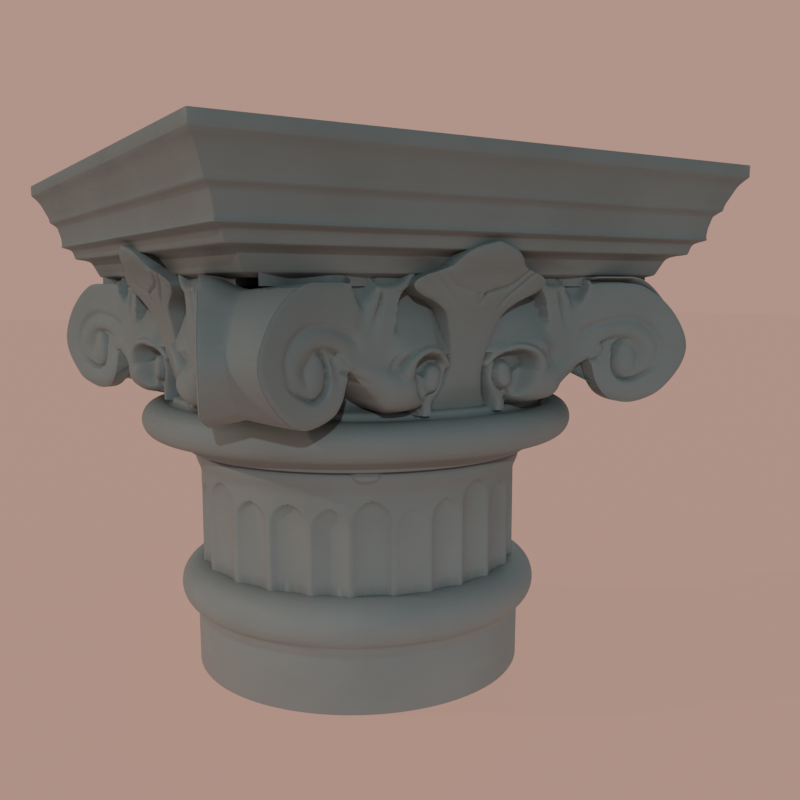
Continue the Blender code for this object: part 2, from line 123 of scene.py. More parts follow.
def curve_through(points, steps, closed=False):
    """Catmull-Rom curve through rows of numbers: each span is the cubic that leaves a point along the
    line between its two neighbours."""
    points = np.asarray(points, float)
    count = len(points)
    spans = np.arange(count if closed else count - 1)
    near = [(spans + k) % count if closed else np.clip(spans + k, 0, count - 1) for k in (-1, 0, 1, 2)]
    a, b, c, d = (points[i][:, None, :] for i in near)
    t = (np.arange(steps) / steps)[None, :, None]
    curve = 0.5 * (2 * b + (c - a) * t + (2 * a - 5 * b + 4 * c - d) * t ** 2 + (3 * b - a - 3 * c + d) * t ** 3)
    curve = curve.reshape(-1, points.shape[1])
    return curve if closed else np.vstack((curve, points[-1:]))


def ease(value):
    """Smooth step: 0 below 0, 1 above 1, and 3 t squared less 2 t cubed between."""
    t = np.clip(value, 0, 1)
    return t * t * (3 - 2 * t)


def past(value, start, run):
    """Smooth step up: 0 as far as start, and 1 from start + run on."""
    return ease((value - start) / run)


def until(value, end, run):
    """Smooth step down: 1 as far as end - run, and 0 from end on."""
    return ease((end - value) / run)


# %% [markdown]
# ## Turned foot and neck
# The foot, its half-round torus and the neck are lathe work, so a profile of radius and height is carried
# round the axis. The flutes are hollows ploughed up the neck with an arched end at the top. They could be
# cut with 26 cutters, but here the neck's radius simply shrinks where a flute is, by a full parabola
# across each flute. The carver's spacing drifts a little, so the columns of the grid drift with it and
# each arris stays on one column. Ten arrises and nine tops show; round the back they are spaced evenly.

# %% Foot
ROUND_STEPS = 288
CORE_RADIUS = 60.0
LOWER_TORUS_BULGE = 140.0 - 124.2


def arc_points(start, end, bulge, steps):
    """Points of an arc over a chord: the arc's height over the chord's middle is bulge."""
    start, end = np.array(start, float), np.array(end, float)
    chord = end - start
    length = np.hypot(*chord)
    radius = (length ** 2 / 4 + bulge ** 2) / (2 * abs(bulge))
    half = math.asin(min(1.0, length / 2 / radius))
    half = math.pi - half if abs(bulge) > length / 2 else half
    turn = np.linspace(-half, half, steps + 1)[:, None]
    normal = np.array([-chord[1], chord[0]]) / length * np.sign(bulge)
    middle = (start + end) / 2
    return (middle + chord / length * radius * np.sin(turn)
            + normal * (radius * np.cos(turn) - radius + abs(bulge)))


def lathe(name, profile, angles, shrink=0.0):
    """A profile of (radius, height) rows carried round the axis; shrink is taken off the radius."""
    radius = np.maximum(profile[:, :1] - shrink, 0.0)
    height = np.broadcast_to(profile[:, 1:], (len(profile), len(angles)))
    rings = np.stack((radius * np.cos(angles), radius * np.sin(angles), height), -1)
    return skin(name, rings)


round_angles = np.linspace(0, 2 * np.pi, ROUND_STEPS, endpoint=False)
torus = arc_points((131.0, 49.5), (117.4, 82.5), -LOWER_TORUS_BULGE, steps=22)
foot_profile = np.vstack((
    [(CORE_RADIUS, 0.0), (126.1, 0.0), (127.0, 0.3), (127.6, 1.3), (128.0, 40.2), (127.9, 42.2)],
    [(128.5, 43.0), (129.0, 45.0), (130.4, 48.4)], torus, [(CORE_RADIUS, 82.5)],
))
foot = lathe("foot", foot_profile, round_angles)
print("the foot is %.1f mm wide" % (2 * foot_profile[:5, 0].max()))

# %% Flutes
FLUTE_COLUMNS = 22
SEEN_ARRISES = (-91.2, -73.9, -59.1, -44.3, -31.5, -17.4, -5.2, 7.1, 20.7, 36.6)
HIDDEN_FLUTES = 17
hidden_arrises = np.linspace(SEEN_ARRISES[-1], SEEN_ARRISES[0] + 360, HIDDEN_FLUTES + 1)[1:-1]
ARRISES = np.radians(np.concatenate((SEEN_ARRISES, hidden_arrises)))
FLUTES = len(ARRISES)
ARCH_HEIGHT = 14.0
ARCH_POWER = 0.62
HOLLOW_SHARE = 0.9
HOLLOW_FULLNESS = 0.8


def flute_columns():
    """Angle of each column of the neck, its share across its flute from -1 to 1, and the flute's number."""
    number = np.repeat(np.arange(FLUTES), FLUTE_COLUMNS)
    share = np.tile(np.arange(FLUTE_COLUMNS) / FLUTE_COLUMNS, FLUTES)
    width = (np.roll(ARRISES, -1) - ARRISES) % (2 * np.pi)
    return ARRISES[number] + share * width[number] - np.pi / 2, 2 * share - 1, number


def flute_hollow(share, height, top, deep):
    """Depth of a flute. Its half width stays whole up to an arch's height under the top and then closes
    like an arch with a faint point, and the depth shrinks with the root of that width. Across it the
    hollow is a parabola raised to a power, which makes it fuller."""
    climb = np.clip((height - top + ARCH_HEIGHT) / ARCH_HEIGHT, 0, 1)
    width = np.clip(1 - climb ** 2, 1e-4, 1) ** ARCH_POWER * HOLLOW_SHARE
    section = np.clip(1 - (share / width) ** 2, 0, 1) ** HOLLOW_FULLNESS
    return deep * (climb < 1) * width ** 0.5 * section


# %% Neck
NECK_RADIUS = 123.6
NECK_FLARE = 4.0
NECK_TUCK = 2.4
SEEN_TOPS = (152.6, 144.6, 145.6, 144.0, 149.4, 143.0, 147.6, 157.6, 151.0)
SEEN_DEPTHS = (4.4, 4.6, 4.6, 3.2, 4.4, 1.6, 3.6, 4.2, 4.2)

neck_angles, flute_share, flute_number = flute_columns()
heights = np.concatenate((np.linspace(76, 126, 9), np.linspace(128, 158, 25), np.linspace(159.4, 171.6, 9)))
flare = NECK_FLARE * past(heights, 152.0, 14.0) - NECK_TUCK * past(heights, 167.6, 2.6)
neck_profile = np.stack((NECK_RADIUS + flare, heights), -1)
# Round the back the flutes end at 148 mm, give or take 2.6, and are 4.1 mm deep, give or take 0.4.
hidden = np.arange(HIDDEN_FLUTES)
tops = np.append(SEEN_TOPS, 148.0 + 2.6 * np.sin(1.9 * hidden))[flute_number]
deep = np.append(SEEN_DEPTHS, 4.1 + 0.4 * np.cos(2.7 * hidden))[flute_number]
hollow = flute_hollow(flute_share[None, :], heights[:, None], tops[None, :], deep[None, :])

# %% [markdown]
# One small half-round boss stands on the neck under the lip. It could be a ball set into the wood, but
# the neck's radius is a field already, so half an ellipsoid is added to it.

# %% Boss under the lip
BOSS_ANGLE = math.radians(-90 - 26.5)
BOSS_LEVEL = 170.5
BOSS_RADIUS = 127
BOSS_HALF_WIDTH, BOSS_HALF_HEIGHT, BOSS_OUT = 10.5, 8.0, 4.5

boss_turn = (neck_angles - BOSS_ANGLE + np.pi) % (2 * np.pi) - np.pi
boss_across = boss_turn[None, :] * BOSS_RADIUS / BOSS_HALF_WIDTH
boss_up = (heights[:, None] - BOSS_LEVEL) / BOSS_HALF_HEIGHT
hollow = hollow - BOSS_OUT * np.sqrt(np.clip(1 - boss_across ** 2 - boss_up ** 2, 0, 1))
neck = lathe("neck", neck_profile, neck_angles, hollow)
print("%d flutes, the widest %.1f mm across" % (FLUTES, np.diff(ARRISES).max() * NECK_RADIUS))

# %% [markdown]
# ## Upper torus, ledge and bell
# Above the neck a thin lip, a heavy torus and a ledge carry the carving. Behind the carving stands the
# bell, the plain core that flares towards the abacus. One turned profile makes all of them.

# %% Crown
UPPER_TORUS_BULGE = 166.6 - 147.9
LIP = [
    (CORE_RADIUS, 171.3), (133.6, 171.3), (134.6, 172.2), (135.1, 174.6), (137.2, 177.0), (142.0, 178.9),
    (147.6, 179.7), (148.6, 180.2), (148.8, 180.7), (146.6, 181.4),
]
LEDGE = [(144.4, 207.6), (144.8, 209.4), (144.2, 211.4), (142.6, 212.4), (136.0, 213.2), (131.2, 214.6)]
BELL = [
    (128.8, 218.0), (128.0, 230.0), (128.6, 250.0), (133.1, 266.0), (140.0, 280.0), (147.0, 290.0),
    (154.0, 302.0), (CORE_RADIUS, 302.0),
]

upper_torus = arc_points((148.6, 182.0), (147.2, 206.6), -UPPER_TORUS_BULGE, steps=26)
crown_profile = np.vstack((LIP, upper_torus, LEDGE, BELL))
crown = lathe("crown", crown_profile, round_angles)
print("the upper torus is %.1f mm wide" % (2 * upper_torus[:, 0].max()))

# %% [markdown]
# ## Abacus
# The abacus is planed and moulded board, mitred at its corners. A half width for each height, from the
# top fascia down over a cove and three bands, is carried round a square whose corners are eased by a
# millimetre. Each side has many columns, so that a long soft wave of a planed board can be put in.

# %% Abacus
SIDE_STEPS = 64
CORNER_RADIUS = 0.9
ABACUS_HALF = 204
ABACUS_INSET = 0.2
MOULDED_OUT = 150
TOP_EDGE = 377.0
QUARTER_TURNS = [np.array([[math.cos(angle), -math.sin(angle)], [math.sin(angle), math.cos(angle)]])
                 for angle in np.arange(4) * math.pi / 2]
ABACUS_BANDS = np.array([
    (40.0, 378.0), (201.0, 378.0), (203.2, 378.0), (203.8, 377.8), (204.0, 377.2), (204.0, 369.8),
    (203.8, 369.2), (203.3, 368.7), (201.2, 366.5), (199.2, 364.0), (197.6, 361.2), (196.1, 357.8),
    (194.6, 354.6), (193.2, 351.6), (192.4, 349.0), (192.1, 347.3), (191.9, 346.5), (190.3, 345.3),
    (187.6, 342.9), (187.0, 341.8), (186.4, 339.4), (185.1, 334.8), (184.5, 330.4), (184.4, 327.4),
    (184.8, 326.7), (184.9, 326.3), (183.6, 325.5), (181.4, 324.8), (178.8, 323.6), (177.8, 322.6),
    (177.0, 320.8), (176.1, 317.4), (175.6, 316.2), (175.1, 315.9), (172.4, 315.3), (169.9, 314.9),
    (166.6, 313.8), (165.0, 312.5), (163.9, 310.6), (160.6, 303.2), (159.9, 301.7), (159.2, 301.1),
    (156.0, 300.1), (152.2, 298.6), (40.0, 298.6),
])


def square_path(half_width, steps, radius):
    """Points round a square whose corners are arcs, side after side, as an array of rows by points by 2."""
    run = np.linspace(-1, 1, steps)[None, :] * (half_width[:, None] - radius)
    side = np.stack((run, np.broadcast_to(-half_width[:, None], run.shape)), -1)
    turn = np.radians([22.5, 45.0, 67.5])
    corner = np.stack((np.sin(turn), -np.cos(turn)), -1) * radius
    corner = (half_width[:, None, None] - radius) * np.array([1, -1]) + corner[None, :, :]
    quarter = np.concatenate((side, corner), 1)
    return np.concatenate([quarter @ turn.T for turn in QUARTER_TURNS], 1)


path = square_path(ABACUS_BANDS[:, 0], SIDE_STEPS, CORNER_RADIUS)
height = np.broadcast_to(ABACUS_BANDS[:, 1:], path.shape[:2])
along = path[..., 0] + path[..., 1]
moulded = (ABACUS_BANDS[:, :1] > MOULDED_OUT) & (ABACUS_BANDS[:, 1:] < TOP_EDGE)
wave = 0.18 * np.sin(along / 37.0 + height / 19.0) * moulded
lift = np.where(moulded, 0.12 * np.sin(along / 29.0 + 1.3), 0.0)
shrunk = 1 - (ABACUS_INSET + wave) / ABACUS_HALF
abacus_rings = np.stack((path[..., 0] * shrunk, path[..., 1] * shrunk, height + lift), -1)
abacus = skin("abacus", abacus_rings)
print("the abacus is %.1f mm wide" % np.ptp(abacus_rings[..., 0]))

# %% [markdown]
# ## Plan of a carved face
# Seen from above, each carved face is flat in its middle and its two ends turn out by about 22 degrees
# towards the corners. Everything carved is measured forwards or backwards from this curve.

# %% Plan curve
FACE_OUT = 157.1
FACE_BEND = 8.0
BEND_ACROSS = 86.0
TIP_OUT, TIP_ACROSS = 188.3, 163.2
WING_SLOPE = (TIP_OUT - FACE_OUT) / (TIP_ACROSS - BEND_ACROSS)


def face_out(across):
    """Distance of the face from the axis: a straight middle that bends, like a hyperbola, into two wings."""
    gap = (np.abs(across) - BEND_ACROSS) * WING_SLOPE
    return FACE_OUT + (gap + np.sqrt(gap * gap + FACE_BEND ** 2)) / 2


print("the wings turn out by %.1f degrees" % math.degrees(math.atan(WING_SLOPE)))

# %% [markdown]
# ## Outline of the scrolls
# On each half of a face one S-shaped scroll runs from the volute at the corner to a small curl beside the
# leaf. Its silhouette is a closed curve through points in the plane of the face, across and up from the
# foot. The right half is drawn and the left half is its mirror image.

# %% Scroll outline
VOLUTE_OUTLINE = np.array([
    (94.2, 295.0), (101.0, 295.5), (115.0, 295.5), (125.5, 295.2), (133.0, 292.8), (142.8, 286.6),
    (152.0, 277.4), (159.0, 266.0), (162.8, 255.0), (162.6, 245.5), (158.1, 235.0), (149.9, 224.6),
    (140.0, 216.4), (128.5, 212.0), (116.5, 213.4), (106.6, 218.3), (100.4, 226.4), (97.4, 236.0),
    (95.4, 242.4),
])
SCROLL_FOOT = np.array([
    (92.2, 242.0), (87.0, 238.0), (80.5, 232.0), (74.0, 225.2), (66.0, 217.8), (56.0, 212.6), (43.0, 211.0),
    (34.0, 210.4), (30.0, 210.2), (20.0, 210.2), (8.0, 210.2),
])
OUTLINE_TOP = np.array([(0.0, 307.0), (68.5, 307.0), (71.0, 300.8), (92.6, 300.8)])


def half_outline():
    """Right half of the silhouette: top edge, volute, and the lower edge of the S down to the small curl."""
    scroll = curve_through(np.vstack((VOLUTE_OUTLINE, SCROLL_FOOT)), steps=7)
    return np.vstack((OUTLINE_TOP, scroll, [(0.0, SCROLL_FOOT[-1, 1])]))


def prism(name, outline, front, back):
    """The outline as a solid between two planes of constant y."""
    rings = [np.stack((outline[:, 0], np.full(len(outline), y), outline[:, 1]), -1) for y in (front, back)]
    return skin(name, rings)


half = half_outline()
full_outline = np.vstack((half[1:-1], (half * (-1, 1))[::-1][1:-1]))
print("the scroll outline has %d points and reaches %.1f mm out" % (len(full_outline), full_outline[:, 0].max()))

# %% [markdown]
# ## Relief as a field of heights
# A carver thinks in rolls and hollows. Here every point of the face gets a height in front of the plan
# curve: rolls are rounded ridges along a path, hollows are paths that press the surface in, and a soft
# maximum lets one roll run into the next with a crisp but not razor-sharp valley. A sculpted mesh could
# do the same, but a field of heights can be read and corrected number by number.

# %% Rolls and hollows
PATH_STEPS = 5
FAR_BELOW = -90.0
SIDE_STEEPNESS = 4.0


def path_pieces(path):
    """Start and end of each short piece of the smooth curve through the rows of the path."""
    points = curve_through(path, PATH_STEPS)
    return zip(points[:-1], points[1:])


def distance_along(x, z, start, end):
    """Distance to a short piece of a path, and how far along it the nearest point lies."""
    step = end[:2] - start[:2]
    t = np.clip(((x - start[0]) * step[0] + (z - start[1]) * step[1]) / max(step @ step, 1e-9), 0, 1)
    return np.hypot(x - start[0] - t * step[0], z - start[1] - t * step[1]), t


def roll(x, z, path, soft=False):
    """Height of a rounded ridge. Rows of the path are x, z, half width, crest height and rise: the ridge
    falls by its rise from crest to edge, along a quarter of an ellipse or, if it is soft, a parabola, and
    steeply beyond."""
    height = np.full(x.shape, FAR_BELOW)
    for start, end in path_pieces(path):
        distance, t = distance_along(x, z, start, end)
        width, crest, rise = (start[k] + t * (end[k] - start[k]) for k in (2, 3, 4))
        share = distance / width
        fall = share ** 2 if soft else 1 - np.sqrt(np.clip(1 - share ** 2, 0, 1))
        side = crest - rise - SIDE_STEEPNESS * (distance - width)
        height = np.maximum(height, np.where(share < 1, crest - rise * fall, side))
    return height


def crease(x, z, path):
    """Depth of a groove along a path. Rows are x, z, half width and depth; its section is a bell curve."""
    depth = np.zeros(x.shape)
    for start, end in path_pieces(path):
        distance, t = distance_along(x, z, start, end)
        width, deep = (start[k] + t * (end[k] - start[k]) for k in (2, 3))
        depth = np.maximum(depth, deep * np.exp(-(distance / width) ** 2))
    return depth


def inside_distance(x, z, outline):
    """Distance to a closed outline, positive inside: a point is inside if a line from it to the right
    crosses the outline an odd number of times."""
    nearest = np.full(x.shape, 1e9)
    odd = np.zeros(x.shape, bool)
    for start, end in zip(outline, np.roll(outline, -1, 0)):
        nearest = np.minimum(nearest, distance_along(x, z, start, end)[0])
        if start[1] != end[1]:
            crossing = start[0] + (z - start[1]) / (end[1] - start[1]) * (end[0] - start[0])
            odd ^= ((start[1] > z) != (end[1] > z)) & (x < crossing)
    return np.where(odd, nearest, -nearest)


def inside_curve(x, z, points):
    """Distance to the smooth closed curve through the points, positive inside."""
    return inside_distance(x, z, curve_through(points, PATH_STEPS, closed=True))


def soft_max(a, b, blend):
    """Larger of two heights, rounded where they cross over about the distance blend."""
    return blend * np.logaddexp(a / blend, b / blend)


# %% [markdown]
# ## The volute
# One band comes off the stalk, goes over the top of the volute and round its outer side, and tucks in
# below. Inside it a second, narrower coil comes up out of the S and winds round the oblong eye. So the
# field starts flat, drops into the well of the eye, and the inner coil and the eye are rolls in that well.

# %% Volute relief
EYE_WELL = np.array([
    (84.0, 262.0), (94.0, 268.4), (108.0, 272.4), (122.4, 274.0), (134.6, 270.4), (142.8, 262.0),
    (146.4, 252.0), (143.6, 241.4), (134.6, 234.2), (125.0, 230.0), (117.0, 230.4), (112.4, 236.4),
    (111.6, 245.0), (108.0, 253.0), (97.0, 252.0), (88.0, 252.0),
])
INNER_COIL = np.array([
    (80.0, 248.0, 8.0, -1.2, 2.0), (88.0, 252.4, 8.2, -0.6, 2.6), (96.0, 256.6, 8.4, 0.2, 3.2),
    (106.0, 262.0, 8.6, 0.8, 3.8), (118.0, 263.8, 9.0, 1.0, 4.2), (129.0, 260.6, 9.0, 0.8, 4.0),
    (136.2, 253.6, 8.8, 0.5, 3.6), (137.8, 246.0, 7.6, 0.0, 3.2), (133.6, 239.4, 6.0, -0.8, 2.6),
    (127.0, 235.6, 5.0, -1.6, 2.2),
])
EYE_ROLL = np.array([
    (120.4, 249.6, 7.6, -0.6, 4.8), (121.2, 244.0, 9.0, 0.5, 5.6), (121.8, 239.0, 8.6, 0.3, 5.6),
])
BAND_SINK = np.array([
    (103.4, 233.0, 4.6, 0.2), (103.8, 240.0, 4.8, 1.2), (104.6, 246.0, 4.8, 2.6), (107.0, 251.0, 4.6, 3.4),
])
EYE_GROOVE = np.array([
    (126.0, 256.0, 1.5, 0.5), (120.6, 257.4, 1.5, 2.0), (115.4, 253.0, 1.5, 3.2), (112.6, 244.8, 1.5, 3.8),
    (113.2, 236.0, 1.6, 4.0), (117.4, 230.4, 1.6, 4.2), (124.6, 228.8, 1.5, 4.0), (132.6, 232.0, 1.4, 3.0),
    (140.0, 236.6, 1.4, 1.8), (145.0, 242.0, 1.8, 0.4),
])
ARCH_LINE = np.array([
    (96.4, 246.6, 1.2, 0.4), (99.6, 250.6, 1.2, 2.2), (104.6, 254.6, 1.3, 2.6), (110.6, 257.0, 1.4, 2.2),
    (117.0, 258.2, 1.5, 1.2),
])
WELL_DEPTH, WELL_WALL, WELL_START = 3.0, 7.0, 0.22
ROLL_BACK, ROLL_BACK_FROM, ROLL_BACK_RUN = 4.0, 222.0, 12.0


def roll_back(z):
    """How far the lower edge of a volute rolls back: nothing at 222 mm, and 4 mm at its lowest point."""
    return ROLL_BACK * until(z, ROLL_BACK_FROM, ROLL_BACK_RUN) ** 1.3


def volute_height(x, z):
    """Height over the right volute: a flat band round a shallow well, in which the broad coil and the eye
    stand up. The band's end sinks under the arch, and a narrow groove is cut round the eye's inner side."""
    well = inside_curve(x, z, EYE_WELL)
    height = -WELL_DEPTH * ease(well / WELL_WALL + WELL_START) - crease(x, z, BAND_SINK)
    height = soft_max(height, roll(x, z, INNER_COIL, soft=True), blend=0.7)
    height = soft_max(height, roll(x, z, EYE_ROLL), blend=0.5)
    return height - crease(x, z, ARCH_LINE) - crease(x, z, EYE_GROOVE)


print("the eye stands %.1f mm above the floor of its well" % (WELL_DEPTH + EYE_ROLL[:, 3].max()))

# %% [markdown]
# ## The S and the small curl
# From the arch below the volute the S is a fat roll that comes forward as it drops towards the leaf and
# ends in a big rounded lobe. Its last turn is a cup: a thin lip rises from the leaf's stem, bends over the
# top and runs into the lobe, and inside it the wood is scooped out round a small ball. A plain band climbs
# between the cup and the stem.

# %% S-scroll and curl relief
S_ROLL = np.array([
    (100.0, 250.4, 6.0, -0.6, 3.6), (91.0, 247.0, 7.6, 0.0, 6.4), (82.0, 242.6, 9.0, 0.7, 9.0),
    (73.0, 238.0, 10.8, 2.0, 11.0), (64.5, 233.6, 12.6, 3.8, 12.5), (57.0, 230.8, 13.0, 5.4, 13.5),
    (53.0, 230.2, 12.0, 5.8, 13.5),
])
CURL_BASE = np.array([
    (61.0, 229.8, 13.8, 5.0, 14.0), (53.0, 228.6, 13.6, 4.6, 14.0), (46.0, 227.6, 12.6, 1.8, 12.5),
    (40.6, 226.6, 10.8, -2.4, 9.6),
])
INNER_BAND = np.array([
    (30.6, 206.0, 8.0, -17.0, 4.0), (30.0, 214.0, 7.4, -14.6, 4.4), (27.8, 222.0, 6.4, -10.8, 5.0),
    (24.0, 230.0, 5.6, -8.6, 5.0), (21.6, 237.0, 5.0, -8.0, 5.0), (19.2, 243.0, 4.2, -7.4, 5.0),
])
SCROLL_UNDERSIDE = np.array([
    (95.6, 244.0), (90.0, 246.0), (82.0, 241.0), (73.0, 236.0), (62.0, 230.0), (46.0, 226.0), (36.0, 224.0),
    (35.6, 214.0), (35.6, 200.0), (110.0, 200.0), (99.0, 222.0), (96.8, 232.0),
])
CURL_LIP = np.array([
    (16.0, 243.0, 2.8, -6.8, 4.0), (21.4, 248.8, 2.8, -3.8, 4.4), (28.4, 252.6, 2.8, 0.6, 5.0),
    (36.0, 253.8, 2.8, 4.0, 5.4), (44.0, 251.8, 3.2, 6.0, 6.0), (50.4, 247.0, 4.2, 6.8, 7.4),
    (53.4, 240.0, 7.0, 6.4, 9.5),
])
CURL_CUP = np.array([
    (18.6, 241.0), (22.4, 246.4), (29.0, 250.0), (36.0, 251.2), (43.4, 249.2), (48.2, 244.4), (48.8, 236.0),
    (48.0, 228.0), (44.6, 222.0), (38.6, 219.6), (32.6, 220.0), (28.0, 224.4), (25.6, 231.0), (22.0, 236.6),
])
BALL = np.array([(28.4, 237.4, 6.4, -3.9, 4.6), (29.6, 231.6, 6.8, -4.1, 4.6)])
BALL_GROOVE = np.array([
    (24.0, 243.2, 1.1, 0.8), (21.8, 238.0, 1.1, 1.8), (22.2, 231.6, 1.1, 2.2), (26.0, 226.2, 1.2, 2.4),
    (31.2, 224.2, 1.2, 2.2), (33.6, 221.0, 1.3, 3.4), (34.0, 215.0, 1.5, 4.0), (34.2, 210.0, 1.5, 4.0),
])
LIP_CREASE = np.array([
    (57.6, 253.0, 1.2, 0.3), (60.6, 249.4, 1.2, 1.5), (63.6, 244.6, 1.5, 1.1), (65.6, 240.6, 2.0, 0.3),
])
FOLD = np.array([
    (101.0, 243.6, 1.2, 1.6), (94.0, 241.4, 1.2, 2.4), (86.0, 237.8, 1.3, 1.8), (79.0, 234.6, 1.6, 0.6),
])
CUP_DEPTH = 7.2
CUP_WALL, CUP_SLOPE = 2.6, 10.5
UNDERCUT, UNDERCUT_WALL = 45.0, 1.5


def scroll_height(x, z, ground):
    """Height of the S and its curl over the ground of the face. Below the S the ground drops away. The
    cup's wall is steep under the lip and a long slope towards the lobe."""
    ground = ground - UNDERCUT * ease(inside_distance(x, z, SCROLL_UNDERSIDE) / UNDERCUT_WALL)
    height = soft_max(ground, roll(x, z, S_ROLL), blend=0.9)
    for path in (CURL_BASE, INNER_BAND, CURL_LIP):
        height = soft_max(height, roll(x, z, path), blend=0.6)
    cup = inside_curve(x, z, CURL_CUP)
    wall = CUP_WALL + CUP_SLOPE * past(x, 33.0, 13.0) * until(z, 249.0, 8.0) * past(z, 219.0, 6.0)
    share = ease(cup / wall)
    height = height * (1 - share) + np.minimum(height, -CUP_DEPTH) * share
    height = soft_max(height, roll(x, z, BALL), blend=0.4)
    return height - crease(x, z, FOLD) - crease(x, z, BALL_GROOVE) - crease(x, z, LIP_CREASE)


print("the curl's lip stands %.1f mm above the floor of its cup" % (CUP_DEPTH + CURL_LIP[:, 3].max()))

# %% [markdown]
# ## Recess, stalk and notch
# Between leaf and stalk the ground is scooped away: it starts level with the lip of the small curl and
# leans back until it is deepest under the leaf's wing. Its wall is steep at the stalk and melts away
# above the S. The notch between stalk and volute is a shallow scoop of the same kind, and near the top
# of the stalk the wood opens into a small eyelid.

# %% Ground relief
RECESS = np.array([
    (-40.0, 230.0), (10.0, 236.0), (22.0, 244.0), (30.0, 248.0), (38.0, 249.0), (46.0, 247.0), (54.0, 244.0),
    (63.0, 244.0), (66.0, 254.0), (63.0, 263.0), (60.0, 271.5), (58.8, 279.5), (56.8, 286.6), (52.6, 291.6),
    (45.0, 295.0), (30.0, 298.0), (-40.0, 300.0),
])
LIP_CREST = np.array([
    (14.0, -9.0), (21.4, -4.0), (28.4, 0.4), (36.0, 3.8), (44.0, 5.8), (50.4, 6.4), (60.0, 5.0), (70.0, 2.0),
])
NOTCH = np.array([
    (92.8, 303.0), (93.2, 296.0), (92.0, 291.4), (89.6, 285.6), (86.2, 279.6), (82.0, 276.6), (78.4, 279.4),
    (75.4, 285.0), (72.6, 290.6), (70.4, 296.0), (69.0, 303.0),
])
EYELID = np.array([
    (72.0, 293.4), (75.0, 297.6), (73.0, 303.0), (64.0, 308.0), (52.0, 308.0), (50.0, 301.0), (54.0, 296.4),
    (60.0, 293.8), (66.0, 292.8),
])
EYELID_RIM = np.array([
    (73.0, 291.6, 2.0, 0.6, 1.6), (66.0, 290.6, 2.2, 1.2, 1.8), (58.6, 291.6, 2.4, 1.6, 2.2),
    (52.0, 295.0, 2.6, 1.8, 2.4), (47.6, 300.6, 2.6, 1.6, 2.4),
])
STALK_CREASE = np.array([
    (69.6, 289.6, 1.3, 1.4), (70.0, 285.6, 1.4, 2.6), (72.4, 278.6, 1.8, 2.4), (75.0, 271.6, 2.8, 1.5),
    (79.0, 264.0, 4.5, 0.5),
])
NOTCH_DIMPLE = np.array([(82.6, 279.0, 5.0, 1.6), (83.6, 273.0, 5.5, 1.2), (86.0, 268.0, 5.0, 0.6)])
# How deep each form is at its foot, how much deeper it gets further up, and how wide its wall is.
STALK_LEAN = 1.2
NOTCH_DEPTH, NOTCH_DEEPENS, NOTCH_WALL, NOTCH_STEEPENS = 3.0, 6.0, 9.0, 7.2
EYELID_DEPTH, EYELID_DEEPENS, EYELID_WALL = 1.6, 3.6, 2.2
RECESS_WALL, RECESS_STEEPENS, RECESS_BACK = 15.0, 12.8, 14.0
STEM_DEPTH, STEM_DEEPENS = 8.0, 5.5
UNDER_CURL, UNDER_STEM = 11.0, 12.0


def ground_height(x, z):
    """Height of the face before the rolls: recess, notch and eyelid pressed into a flat screen. The floor of
    the recess leans from the lip of the curl back to its top, and beside the stem it stays deep."""
    height = -STALK_LEAN * past(z, 286.0, 14.0) * until(x, 92.0, 8.0)
    notch = inside_curve(x, z, NOTCH)
    scoop = NOTCH_DEPTH + NOTCH_DEEPENS * past(z, 277.0, 16.0)
    height = height - scoop * ease(notch / (NOTCH_WALL - NOTCH_STEEPENS * past(x, 80.0, 10.0)))
    eyelid = inside_curve(x, z, EYELID)
    height = height - (EYELID_DEPTH + EYELID_DEEPENS * past(z, 292.0, 9.0)) * ease(eyelid / EYELID_WALL)
    height = soft_max(height, roll(x, z, EYELID_RIM) - 0.6, blend=0.4)
    height = height - crease(x, z, STALK_CREASE) - crease(x, z, NOTCH_DIMPLE)
    recess = inside_curve(x, z, RECESS)
    wall = RECESS_WALL - RECESS_STEEPENS * past(z, 254.0, 17.0)
    crest = np.interp(x, *LIP_CREST.T)
    leaning = crest - (crest + RECESS_BACK) * np.clip((z - 252.5) / 36.0, 0, 1) ** 0.9
    beside_stem = -STEM_DEPTH - STEM_DEEPENS * past(z, 246.0, 40.0)
    floor = beside_stem + (leaning - beside_stem) * past(x, 15.0, 15.0)
    share = ease(recess / wall + 0.1)
    height = height * (1 - share) + floor * share
    below = until(z, 251.0, 3.0) * until(x, 51.0, 5.0)
    beside_foot = until(z, 244.0, 16.0) * until(x, 27.0, 4.0)
    return height * (1 - below) - (UNDER_CURL + UNDER_STEM * beside_foot) * below


print("the recess falls %.1f mm from the curl's lip to its top" % (LIP_CREST[:, 1].max() + RECESS_BACK))

# %% [markdown]
# ## A whole face
# The three fields are drawn for the right half and mirrored, and a slow wave of a few tenths of a
# millimetre stands for the carver's hand, so that no two halves are quite alike. The field then becomes
# the front of a slab that reaches back into the bell, or only as far as the volutes are thick.

# %% Field of one face
FACE_COLUMNS, FACE_ROWS = 312, 92
SIDE_NUMBERS = (0, 1, 2, 3)
FACE_REACH, FACE_LEVELS = 166, (209, 308)
EDGE_DROP, EDGE_WIDTH = 1.0, 2.4
VOLUTE_THICK, ROOT_DEPTH, THINNEST = 11.0, 50.0, 0.4


